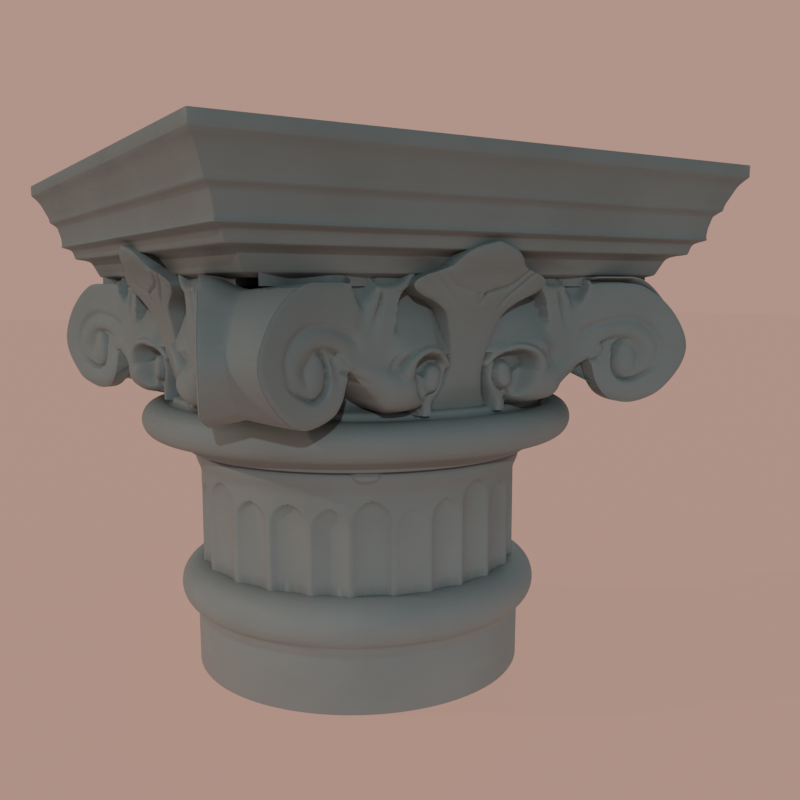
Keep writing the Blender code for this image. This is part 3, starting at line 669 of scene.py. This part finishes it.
def face_field(x, z, side):
    """Height in front of the plan curve over a whole face. The hand of the carver is a slow wave of a few
    tenths of a millimetre, with another phase on each face and on each half."""
    phase = 1.7 * side + 0.9 * (x > 0)
    wander = 0.35 * np.sin(z / 17.0 + phase) + 0.25 * np.sin(x / 21.0 + 2 * phase)
    across, up = np.abs(x) + wander, z + 0.3 * np.sin(x / 26.0 + 3 * phase)
    height = ground_height(across, up)
    height = height + volute_height(across, up) * past(across, 82.0, 12.0)
    height = scroll_height(across, up, height)
    edge = inside_distance(np.abs(x), z, half)
    height = height - (EDGE_DROP * ease(1 - edge / EDGE_WIDTH) + roll_back(up)) * past(across, 94.0, 6.0)
    return height + 0.12 * np.sin(x / 9.0 + z / 13.0 + phase) + 0.10 * np.sin(z / 7.0 - x / 15.0)


def relief_slab(name, side):
    """Solid whose front is the face's relief and whose back lies inside the bell, thin at the volutes."""
    x, z = np.meshgrid(np.linspace(-FACE_REACH, FACE_REACH, FACE_COLUMNS), np.linspace(*FACE_LEVELS, FACE_ROWS))
    back = face_out(x) - VOLUTE_THICK - ROOT_DEPTH * until(np.abs(x), 96.0, 12.0)
    front = np.maximum(face_out(x) + face_field(x, z, side), back + THINNEST)
    sheets = [np.stack((x, -out, z), -1) for out in (front, back)]
    faces = grid_faces(FACE_ROWS, FACE_COLUMNS)
    index = np.arange(x.size).reshape(x.shape)
    border = np.concatenate((index[0], index[1:, -1], index[-1, -2::-1], index[-2:0:-1, 0]))
    following = np.roll(border, -1)
    rim = np.stack((border, following, following + x.size, border + x.size), -1)
    points = np.concatenate([sheet.reshape(-1, 3) for sheet in sheets])
    return make_piece(name, points, np.concatenate((faces, faces[:, ::-1] + x.size, rim)))


print("a face has a point every %.1f mm" % (2 * FACE_REACH / (FACE_COLUMNS - 1)))

# %% [markdown]
# ## The leaf
# A plain stem stands in the middle of each face. It spreads into two wings and a broad middle lobe that
# bends out over the lowest bands of the abacus. It is a loft: a row of points across the leaf for each
# height, with its creases and the roundness of its lobes worked into how far each point stands out.

# %% Leaf
LEAF_ROWS, LEAF_COLUMNS = 150, 121
FRONT_SHARE = 0.72
LEAF_SECTIONS = np.array([
    (209.5, 23.6, 138.4, 4.0, 4.0), (213.5, 22.0, 139.4, 4.6, 5.0), (220.7, 17.0, 142.3, 6.6, 7.6),
    (228.0, 13.8, 145.6, 8.0, 9.0), (237.0, 12.0, 148.4, 8.6, 9.6), (246.0, 12.6, 151.0, 7.4, 9.4),
    (254.0, 14.6, 152.9, 6.0, 9.4), (261.0, 16.6, 154.7, 5.0, 9.6), (268.5, 19.4, 156.9, 4.0, 9.8),
    (276.0, 22.6, 159.6, 2.4, 9.6), (281.0, 28.0, 161.8, 0.8, 8.6), (285.2, 35.6, 163.4, -0.8, 7.6),
    (288.0, 42.8, 164.6, -1.4, 7.0), (291.0, 48.0, 165.8, -1.4, 6.6), (294.2, 50.8, 167.3, -0.8, 6.0),
    (297.4, 49.6, 169.1, 0.0, 5.4), (300.4, 44.4, 171.2, 0.6, 5.0), (303.0, 36.2, 173.3, 1.4, 4.8),
    (306.2, 28.2, 175.9, 1.6, 4.8), (310.6, 24.0, 179.2, 1.8, 4.8), (314.0, 20.2, 181.2, 1.8, 4.6),
    (317.0, 15.2, 182.6, 1.8, 4.2), (319.4, 9.4, 183.2, 1.6, 3.6), (321.0, 3.8, 182.8, 1.2, 3.0),
])
LEAF_CREASES = (
    np.array([(0.0, 281.0, 1.0, 0.2), (1.4, 284.6, 1.0, 1.2), (3.2, 288.8, 1.0, 1.5)]),
    np.array([(2.6, 288.6, 1.0, 1.2), (6.0, 290.0, 1.0, 1.7), (13.0, 291.8, 1.1, 1.7), (21.0, 294.0, 1.1, 1.7),
              (28.4, 299.0, 1.1, 1.5), (33.4, 304.4, 1.1, 1.1)]),
    np.array([(16.4, 279.4, 1.1, 0.5), (22.0, 287.0, 1.1, 1.5), (29.0, 292.9, 1.1, 1.6), (36.0, 299.0, 1.1, 1.3),
              (40.0, 302.4, 1.1, 0.8)]),
)
SHY_HALF = 0.35
LOBE_ROUND, TIP_ROUNDER, DISH = 1.4, 1.2, 0.7
LEAF_ROOT = -70.0


def leaf_piece(name, side):
    """Loft of the leaf. For each height the sections give the half width of its front, how far it reaches
    out, and the width and fall of the flank beside it. Creases part the lobes; on the left half the
    carver hardly marked them."""
    rows = curve_through(LEAF_SECTIONS, steps=8)
    pick = np.linspace(0, len(rows) - 1, LEAF_ROWS)
    z, half, reach, flank, drop = (np.interp(pick, np.arange(len(rows)), rows[:, k])[:, None] for k in range(5))
    share = np.linspace(-1, 1, LEAF_COLUMNS)[None, :]
    front_part = np.clip(np.abs(share) / FRONT_SHARE, 0, 1)
    flank_part = np.clip((np.abs(share) - FRONT_SHARE) / (1 - FRONT_SHARE), 0, 1)
    x = np.sign(share) * (half * front_part + flank * flank_part) * (1 + 0.012 * np.sin(z / 11.0 + side))
    crown = (LOBE_ROUND + TIP_ROUNDER * past(z, 298.0, 10.0)) * front_part ** 3
    dish = DISH * past(z, 276.0, 14.0) * until(z, 304.0, 8.0) * np.cos(front_part * np.pi)
    out = reach - crown - drop * flank_part ** 1.3 + dish + 0.15 * np.sin(z / 8.0 + x / 9.0 + side)
    up = np.broadcast_to(z, x.shape)
    marked = np.where(x > 0, 1.0, SHY_HALF + (1 - SHY_HALF) * ease(1 + x / 4.0))
    for path in LEAF_CREASES:
        out = out - crease(np.abs(x), up, path) * marked
    front = np.stack((x, -out, up), -1)
    width = half + flank
    root = np.stack([np.hstack((s * width, np.full_like(width, LEAF_ROOT), z)) for s in (1.0, -1.0)], 1)
    return skin(name, np.concatenate((front, root), 1))


print("the leaf's wings are %.1f mm wide" % (2 * (LEAF_SECTIONS[:, 1] + LEAF_SECTIONS[:, 3]).max()))

# %% [markdown]
# ## Rims at the corners
# Where two volutes meet at a corner, their rims run into each other in a shallow valley. The rim is a
# surface of two parameters: one runs along the volute's outline, the other from the front face over the
# valley to the side face. It sinks behind both faces, so that the relief stays free.

# %% Corner rim
RIM_STEPS = 31
RIM_VALLEY = 6.4
VALLEY_PLACE = 0.41
ARRIS_BACK = 1.4
HEEL_LIFT = 4.6
RIM_PART = slice(4, 96)
VOLUTE_EYE = np.array([122.4, 247.6])
SUNK_ENDS = ((0.07, 9.0), (0.02, 0.5))
ROOT_PLACE, ROOT_SPREAD, ROOT_RISE = 84.0, 17.0, 30.0


def corner_rim(name):
    """Surface between the outline on the front face and its mirror image on the side face. Across it the
    points shrink towards the eye by the depth of the valley, which gets shallower at the top and the foot.
    Each end is sunk behind its face in two steps, given as a share towards the middle and millimetres
    back, and the root lies inside the bell."""
    x, z = curve_through(VOLUTE_OUTLINE, steps=6)[RIM_PART].T
    out = face_out(x) - ARRIS_BACK - roll_back(z)
    eye, eye_out = VOLUTE_EYE, face_out(VOLUTE_EYE[0])
    across = np.linspace(0, 1, RIM_STEPS)[:, None]
    slope = np.minimum(across / VALLEY_PLACE, (1 - across) / (1 - VALLEY_PLACE))
    bed = 1 - 0.35 * past(z[None, :], 262.0, 30.0) - 0.2 * until(z[None, :], 228.0, 14.0)
    fall = RIM_VALLEY * bed * slope ** 1.25 - 0.15 * (1 - slope)
    heel = HEEL_LIFT * until(across, 0.44, 0.4) * past(z[None, :], 282.0, 12.0)
    share = 1 - fall / np.hypot(x - eye[0], z - eye[1])[None, :]
    ahead, beside = x + (out - x) * across, out + (x - out) * across
    middle = eye[0] + (eye_out - eye[0]) * across, eye_out + (eye[0] - eye_out) * across
    px = middle[0] + (ahead - middle[0]) * share
    py = middle[1] + (beside - middle[1]) * share
    pz = eye[1] + (z[None, :] - eye[1]) * share + heel
    rings = np.stack((px, -py, pz), -1)
    cups = []
    for ring, turn in ((rings[0], (-0.30, 1.0, 0.0)), (rings[-1], (-1.0, 0.30, 0.0))):
        centre = np.array([ring[:, 0].mean(), ring[:, 1].mean(), eye[1]])
        cups.append([centre + (ring - centre) * (1 - inset) + np.array(turn) * back for inset, back in SUNK_ENDS])
    rings = np.concatenate((cups[0], rings, cups[1][::-1]))
    spread = np.linspace(-ROOT_SPREAD, ROOT_SPREAD, len(rings))[:, None]
    root = np.hstack((ROOT_PLACE + spread, spread - ROOT_PLACE))
    ends = [np.hstack((root, np.full((len(rings), 1), level)))[:, None, :] for level in (z[-1] + ROOT_RISE, z[0])]
    return skin(name, np.concatenate((rings, *ends), 1))


# %% [markdown]
# ## Plate over the volutes
# A thin plate lies between the volutes and the abacus. Its four edges follow the plan of the faces, set
# back by 7 mm, and by more towards the corners. There it is notched, so a dark gap is left over the rims.

# %% Plate
PLATE_LEVELS = (293.6, 302.0)
PLATE_RUN = (-150, 130, 57)
PLATE_BACK, PLATE_CORNER_BACK, PLATE_NOTCH = 7.0, 17.0, 104.0


def plate(name):
    """Flat plate whose outline is the plan curve of each face, moved back, with a deep notch at each corner."""
    across = np.linspace(*PLATE_RUN)
    out = face_out(across) - PLATE_BACK - PLATE_CORNER_BACK * past(np.abs(across), 94.0, 38.0)
    side = np.vstack((np.stack((across, -out), -1), [(PLATE_NOTCH, -PLATE_NOTCH)]))
    outline = np.concatenate([side @ turn.T for turn in QUARTER_TURNS])
    rings = [np.hstack((outline, np.full((len(outline), 1), level))) for level in PLATE_LEVELS]
    return skin(name, rings)


# %% [markdown]
# ## Joining
# The real capital is one block under one coat of paint, so the shapes are joined into one closed solid
# with Boolean unions. Remeshing would join them too, but it would round off every arris. The manifold
# solver keeps the arrises, is quick and leaves no open seams. Each face is made once at the front, cut
# by its silhouette, given its leaf and only then turned to its side.

# %% Join the shapes
def join(target, tool, operation="UNION"):
    """Adds a Boolean modifier that joins the tool to the target, or keeps only what both share."""
    step = target.modifiers.new(operation.lower() + "_" + tool.name, "BOOLEAN")
    step.operation = operation
    step.solver = "MANIFOLD"
    step.object = tool


def realise(piece, name):
    """The piece with its modifiers worked out, as a new object with its place in its mesh."""
    graph = bpy.context.evaluated_depsgraph_get()
    mesh = bpy.data.meshes.new_from_object(piece.evaluated_get(graph), depsgraph=graph)
    mesh.transform(piece.matrix_world)
    solid = bpy.data.objects.new(name, mesh)
    bpy.context.scene.collection.objects.link(solid)
    return solid


def remove(*pieces):
    """Takes guide shapes out of the scene once they have been used."""
    for piece in pieces:
        bpy.data.objects.remove(piece, do_unlink=True)


silhouette = prism("silhouette", full_outline, front=-225.0, back=-90.0)
faces = []
for side in SIDE_NUMBERS:
    slab = relief_slab("relief_%d" % side, side)
    join(slab, silhouette, "INTERSECT")
    leaf = leaf_piece("leaf_%d" % side, side)
    join(slab, leaf)
    for piece in (slab, silhouette, leaf):
        piece.rotation_euler.z = side * math.pi / 2
    bpy.context.view_layer.update()
    faces.append(realise(slab, "face_%d" % side))
    remove(slab, leaf)
print("carved faces, in polygons:", [len(face.data.polygons) for face in faces])

# %% Turn the rims and join all
rim = corner_rim("rim")
rims = []
for side in SIDE_NUMBERS:
    rim.rotation_euler.z = side * math.pi / 2
    bpy.context.view_layer.update()
    rims.append(realise(rim, "rim_%d" % side))

cap = plate("plate")
for tool in (neck, crown, *rims, *faces, cap, abacus):
    join(foot, tool)
bpy.context.view_layer.update()
capital = realise(foot, "carved_capital")
remove(foot, neck, crown, cap, abacus, rim, silhouette, *faces, *rims)


def count(piece):
    """Triangles and open edges of a piece."""
    edit = bmesh.new()
    edit.from_mesh(piece.data)
    open_edges = sum(not edge.is_manifold for edge in edit.edges)
    triangles = sum(len(face.verts) - 2 for face in edit.faces)
    edit.free()
    return triangles, open_edges


print("joined: %d triangles, %d open edges" % count(capital))

# %% [markdown]
# ## Folds and thinning
# Where two shapes touch exactly, a union can leave two triangles on the same three points: a fold with no
# thickness, which an exporter calls invalid. Such pairs are taken out. Then flat places give up faces that
# they don't need, which keeps the mesh under 200,000 triangles. Decimate would make long slivers of the
# straight facets of neck, foot and top, and slivers shade as stripes, so a vertex group keeps it off them.

# %% Take out folds
def folded_pairs(mesh):
    """Numbers of the triangles that use the same three points as another one."""
    corners = np.empty(len(mesh.polygons) * 3, int)
    mesh.polygons.foreach_get("vertices", corners)
    corners = np.sort(corners.reshape(-1, 3), 1)
    same, times = np.unique(corners, axis=0, return_inverse=True, return_counts=True)[1:]
    return np.flatnonzero(times[same.ravel()] > 1)


edit = bmesh.new()
edit.from_mesh(capital.data)
bmesh.ops.triangulate(edit, faces=edit.faces)
edit.to_mesh(capital.data)
edit.faces.ensure_lookup_table()
folds = [edit.faces[number] for number in folded_pairs(capital.data)]
bmesh.ops.delete(edit, geom=folds, context="FACES")
edit.to_mesh(capital.data)
edit.free()
print("%d folded triangles taken out" % len(folds))
print("as triangles: %d triangles, %d open edges" % count(capital))

# %% Thin the carving
TRIANGLES = 190000
NECK_TOP = 172.5

levels = np.empty(len(capital.data.vertices) * 3)
capital.data.vertices.foreach_get("co", levels)
levels = levels[2::3] * 1000
kept = capital.vertex_groups.new(name="neck_foot_and_top")
kept.add(np.flatnonzero((levels < NECK_TOP) | (levels > TOP_EDGE)).tolist(), 1.0, "REPLACE")
thin = capital.modifiers.new("thin", "DECIMATE")
thin.vertex_group = kept.name
thin.invert_vertex_group = True
thin.ratio = min(1.0, TRIANGLES / count(capital)[0])
bpy.context.view_layer.update()

# %% The finished piece
ARRIS_ANGLE = math.radians(42)

rough = capital
capital = realise(rough, "carved_capital_finished")
remove(rough)
capital.name = "carved_capital"
capital.data.name = "carved_capital"
capital.data.shade_smooth()
capital.data.set_sharp_from_angle(angle=ARRIS_ANGLE)
print("finished: %d triangles, %d open edges" % count(capital))

# %% [markdown]
# ## The coat of paint
# The wood is primed and painted a flat grey, so no grain shows and the eye reads only the tone of the coat
# and how evenly light leaves it. A painted picture could hold that, but patterns in the piece's own
# coordinates need no picture and fit every side. Paint is no metal and keeps the common index of
# refraction of 1.5, and its roughness of about 0.7 spreads each highlight until none is seen.

# %% Colours and nodes
def colour(code):
    """sRGB hex to the linear values that the shader takes."""
    parts = np.array([int(code[i:i + 2], 16) for i in (0, 2, 4)]) / 255
    linear = np.where(parts <= 0.04045, parts / 12.92, ((parts + 0.055) / 1.055) ** 2.4)
    return (*linear.tolist(), 1.0)


def node(owner, kind, settings=None, links=None):
    """Adds a node to a material or to the world. Settings are its fields or the values of its inputs, and
    links join its inputs to outputs. Inputs that share one name are given by their number."""
    made = owner.node_tree.nodes.new(kind)
    for name, value in (settings or {}).items():
        if isinstance(name, int) or name in made.inputs:
            made.inputs[name].default_value = value
        else:
            setattr(made, name, value)
    for name, output in (links or {}).items():
        owner.node_tree.links.new(output, made.inputs[name])
    return made


paint = bpy.data.materials.new("flat_grey_primer_on_carved_wood")
paint.use_nodes = True
shader = paint.node_tree.nodes["Principled BSDF"]
place = node(paint, "ShaderNodeTexCoord").outputs["Object"]

# %% [markdown]
# ## Tone of the coat
# The grey gets paler from the abacus down to the foot: painted light that stands in for the brighter bounce
# from the floor on the lower parts. Its tone also drifts by a few hundredths in patches, as a coat does that was
# brushed on in several goes. Two close greys are mixed by height, and a slow noise then scales the colour, which
# drifts in tone but not in tint.

# %% Tone of the coat
UPPER_GREY, FOOT_GREY = colour("777D7C"), colour("969795")
PALER_BELOW = 0.31  # metres: the height of the lowest band of the abacus
PATCHES_PER_METRE = 14.0  # patches about 70 mm wide, a broad brush's reach
COLOUR_A, COLOUR_B, MIXED = 6, 7, 2  # numbers of the colour sockets on a Mix node

height_of = node(paint, "ShaderNodeSeparateXYZ", links={"Vector": place}).outputs["Z"]
# painted light: the grey gets paler towards the foot, standing in for the floor's brighter bounce there
painted_bounce_share = node(paint, "ShaderNodeMapRange", {"From Min": 0.0, "From Max": PALER_BELOW, "To Min": 1.0, "To Max": 0.0},
            {"Value": height_of})
painted_bounce_grey = node(paint, "ShaderNodeMix", {"data_type": "RGBA", COLOUR_A: UPPER_GREY, COLOUR_B: FOOT_GREY},
             {"Factor": painted_bounce_share.outputs["Result"]})
drift = node(paint, "ShaderNodeTexNoise", {"Scale": PATCHES_PER_METRE, "Detail": 4.0, "Roughness": 0.55},
             {"Vector": place})
patch = node(paint, "ShaderNodeMapRange", {"From Min": 0.3, "From Max": 0.7, "To Min": 0.94, "To Max": 1.05},
             {"Value": drift.outputs["Fac"]})
toned = node(paint, "ShaderNodeVectorMath", {"operation": "SCALE"},
             {"Vector": painted_bounce_grey.outputs[MIXED], "Scale": patch.outputs["Result"]})
print("the tone drifts in patches %.0f mm wide" % (1000 / PATCHES_PER_METRE))

# %% [markdown]
# ## Paler arrises and painted shade in the hollows
# Each outer edge is a little paler, partly as paint that handling rubbed and partly as a painted highlight
# where an arris would catch the light, and the inner corners are darkened with painted shade. Both could be
# painted on by hand. Pointiness does it by itself, because it tells how sharply the surface turns: about a half
# where it is flat, more on an outer edge and less in a hollow.

# %% Paler arrises and painted shade in the hollows
RUBBED_AND_HIGHLIGHT_GREY, CREASE_SHADE_GREY = colour("A9ADAA"), colour("5A534E")

turning = node(paint, "ShaderNodeNewGeometry").outputs["Pointiness"]
# paler outer edges: partly rubbed paint, partly a painted highlight on each arris
rubbed_and_highlit = node(paint, "ShaderNodeMapRange", {"From Min": 0.53, "From Max": 0.62, "To Min": 0.0, "To Max": 0.35},
              {"Value": turning})
worn_and_highlit = node(paint, "ShaderNodeMix", {"data_type": "RGBA", COLOUR_B: RUBBED_AND_HIGHLIGHT_GREY},
            {"Factor": rubbed_and_highlit.outputs["Result"], COLOUR_A: toned.outputs["Vector"]})
# painted shade: the hollows, where the surface turns in, are darkened
crease_shade = node(paint, "ShaderNodeMapRange", {"From Min": 0.468, "From Max": 0.39, "To Min": 0.0, "To Max": 0.55},
            {"Value": turning})
crease_shaded = node(paint, "ShaderNodeMix", {"data_type": "RGBA", COLOUR_B: CREASE_SHADE_GREY},
             {"Factor": crease_shade.outputs["Result"], COLOUR_A: worn_and_highlit.outputs[MIXED]})
paint.node_tree.links.new(crease_shaded.outputs[MIXED], shader.inputs["Base Color"])

# %% [markdown]
# ## Brush marks and grit
# The brush went round the piece, so its strokes are level: a noise 14 mm long, squeezed to 1.6 mm in
# height. Grit in a primer is a tenth of a millimetre and wouldn't show at this distance, so it is drawn
# as coarse as it needs to be, about 1 mm. Both are faint bumps, because they change no outline, and the
# strokes also make the coat a little less or more rough.

# %% Brush marks and grit
STROKES_PER_METRE = 70.0
STROKE_SQUEEZE = 9.0
GRIT_PER_METRE = 900.0
STROKE_RELIEF, GRIT_RELIEF = 0.0006, 0.0003  # metres

squeezed = node(paint, "ShaderNodeMapping", {"Scale": (1.0, 1.0, STROKE_SQUEEZE)}, {"Vector": place})
strokes = node(paint, "ShaderNodeTexNoise", {"Scale": STROKES_PER_METRE, "Detail": 3.0, "Roughness": 0.6},
               {"Vector": squeezed.outputs["Vector"]})
grit = node(paint, "ShaderNodeTexNoise", {"Scale": GRIT_PER_METRE, "Detail": 2.0}, {"Vector": place})
brushed = node(paint, "ShaderNodeBump", {"Strength": 0.10, "Distance": STROKE_RELIEF},
               {"Height": strokes.outputs["Fac"]})
bump = node(paint, "ShaderNodeBump", {"Strength": 0.12, "Distance": GRIT_RELIEF},
            {"Height": grit.outputs["Fac"], "Normal": brushed.outputs["Normal"]})
flatness = node(paint, "ShaderNodeMapRange", {"From Min": 0.3, "From Max": 0.7, "To Min": 0.66, "To Max": 0.80},
                {"Value": strokes.outputs["Fac"]})
paint.node_tree.links.new(bump.outputs["Normal"], shader.inputs["Normal"])
paint.node_tree.links.new(flatness.outputs["Result"], shader.inputs["Roughness"])
capital.data.materials.clear()
capital.data.materials.append(paint)
print("strokes %.0f by %.1f mm, grit %.1f mm" % (
    1000 / STROKES_PER_METRE, 1000 / STROKES_PER_METRE / STROKE_SQUEEZE, 1000 / GRIT_PER_METRE))

# %% [markdown]
# ## Floor and backdrop
# The piece is shown against one even, warm tone with no horizon. A lit floor would be brighter near a lamp
# and end in a line, so this one gives off that tone itself, and the backdrop is the same. Only the camera
# sees it: to the piece the floor sends up a paler bounce, and the room round it is dim and cool.

# %% Floor and backdrop
BACKDROP, BOUNCE, ROOM, FLOOR = colour("C89A89"), colour("BBA49B"), colour("D0E0E8"), colour("7C5B50")
FLOOR_HALF, FLOOR_DROP = 8, 0.0005  # metres
FLOOR_GLOW, ROOM_GLOW = 0.82, 0.30

floor_mesh = bpy.data.meshes.new("floor")
floor_corners = [(x * FLOOR_HALF, y * FLOOR_HALF, -FLOOR_DROP) for x, y in ((-1, -1), (1, -1), (1, 1), (-1, 1))]
floor_mesh.from_pydata(floor_corners, [], [(0, 1, 2, 3)])
floor = bpy.data.objects.new("floor", floor_mesh)
bpy.context.scene.collection.objects.link(floor)

pale = bpy.data.materials.new("plain_pale_floor")
pale.use_nodes = True
pale_shader = pale.node_tree.nodes["Principled BSDF"]
pale_shader.inputs["Base Color"].default_value = FLOOR
pale_shader.inputs["Roughness"].default_value = 1.0
pale_shader.inputs["Specular IOR Level"].default_value = 0.0
pale_shader.inputs["Emission Strength"].default_value = FLOOR_GLOW
floor_seen = node(pale, "ShaderNodeLightPath").outputs["Is Camera Ray"]
glow = node(pale, "ShaderNodeMix", {"data_type": "RGBA", COLOUR_A: BOUNCE, COLOUR_B: BACKDROP},
            {"Factor": floor_seen})
pale.node_tree.links.new(glow.outputs[MIXED], pale_shader.inputs["Emission Color"])
floor_mesh.materials.append(pale)

world = bpy.data.worlds.new("soft_room")
world.use_nodes = True
backdrop = world.node_tree.nodes["Background"]
backdrop.inputs["Color"].default_value = BACKDROP
room = node(world, "ShaderNodeBackground", {"Color": ROOM, "Strength": ROOM_GLOW})
seen = node(world, "ShaderNodeLightPath").outputs["Is Camera Ray"]
either = node(world, "ShaderNodeMixShader",
              links={"Fac": seen, 1: room.outputs["Background"], 2: backdrop.outputs["Background"]})
world.node_tree.links.new(either.outputs["Shader"], world.node_tree.nodes["World Output"].inputs["Surface"])
bpy.context.scene.world = world

# %% [markdown]
# ## Lamps
# Two low suns draw the form. The warm one comes from behind the left side and rakes over it. The cool one
# at the front left is narrow, so each volute throws a crisp shadow on the torus below. A broad, soft one
# keeps the far sides readable. Softboxes could do the same, but a sun's place doesn't matter, only its
# direction, which makes shadows easy to aim.

# %% Lamps
def sun(name, strength, tint, direction, width):
    """A sun that shines from an azimuth, counted from the front face towards the right one, and an
    elevation, all in degrees. A wider sun has softer shadows."""
    data = bpy.data.lights.new(name, "SUN")
    data.energy = strength
    data.color = colour(tint)[:3]
    data.angle = math.radians(width)
    item = bpy.data.objects.new(name, data)
    azimuth, elevation = (math.radians(a) for a in direction)
    item.rotation_euler = (math.pi / 2 - elevation, 0.0, azimuth)
    bpy.context.scene.collection.objects.link(item)


sun("low_lamp", 0.85, "FFE6D0", (-117, 22), 1.2)
sun("front_lamp", 0.85, "D6EEF2", (-27, 20), 1.0)
sun("back_lamp", 0.45, "E6E8EA", (140, 28), 25.0)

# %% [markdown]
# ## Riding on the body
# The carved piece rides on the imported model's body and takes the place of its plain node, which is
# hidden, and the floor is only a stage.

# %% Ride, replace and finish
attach(capital, "root")
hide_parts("capital")
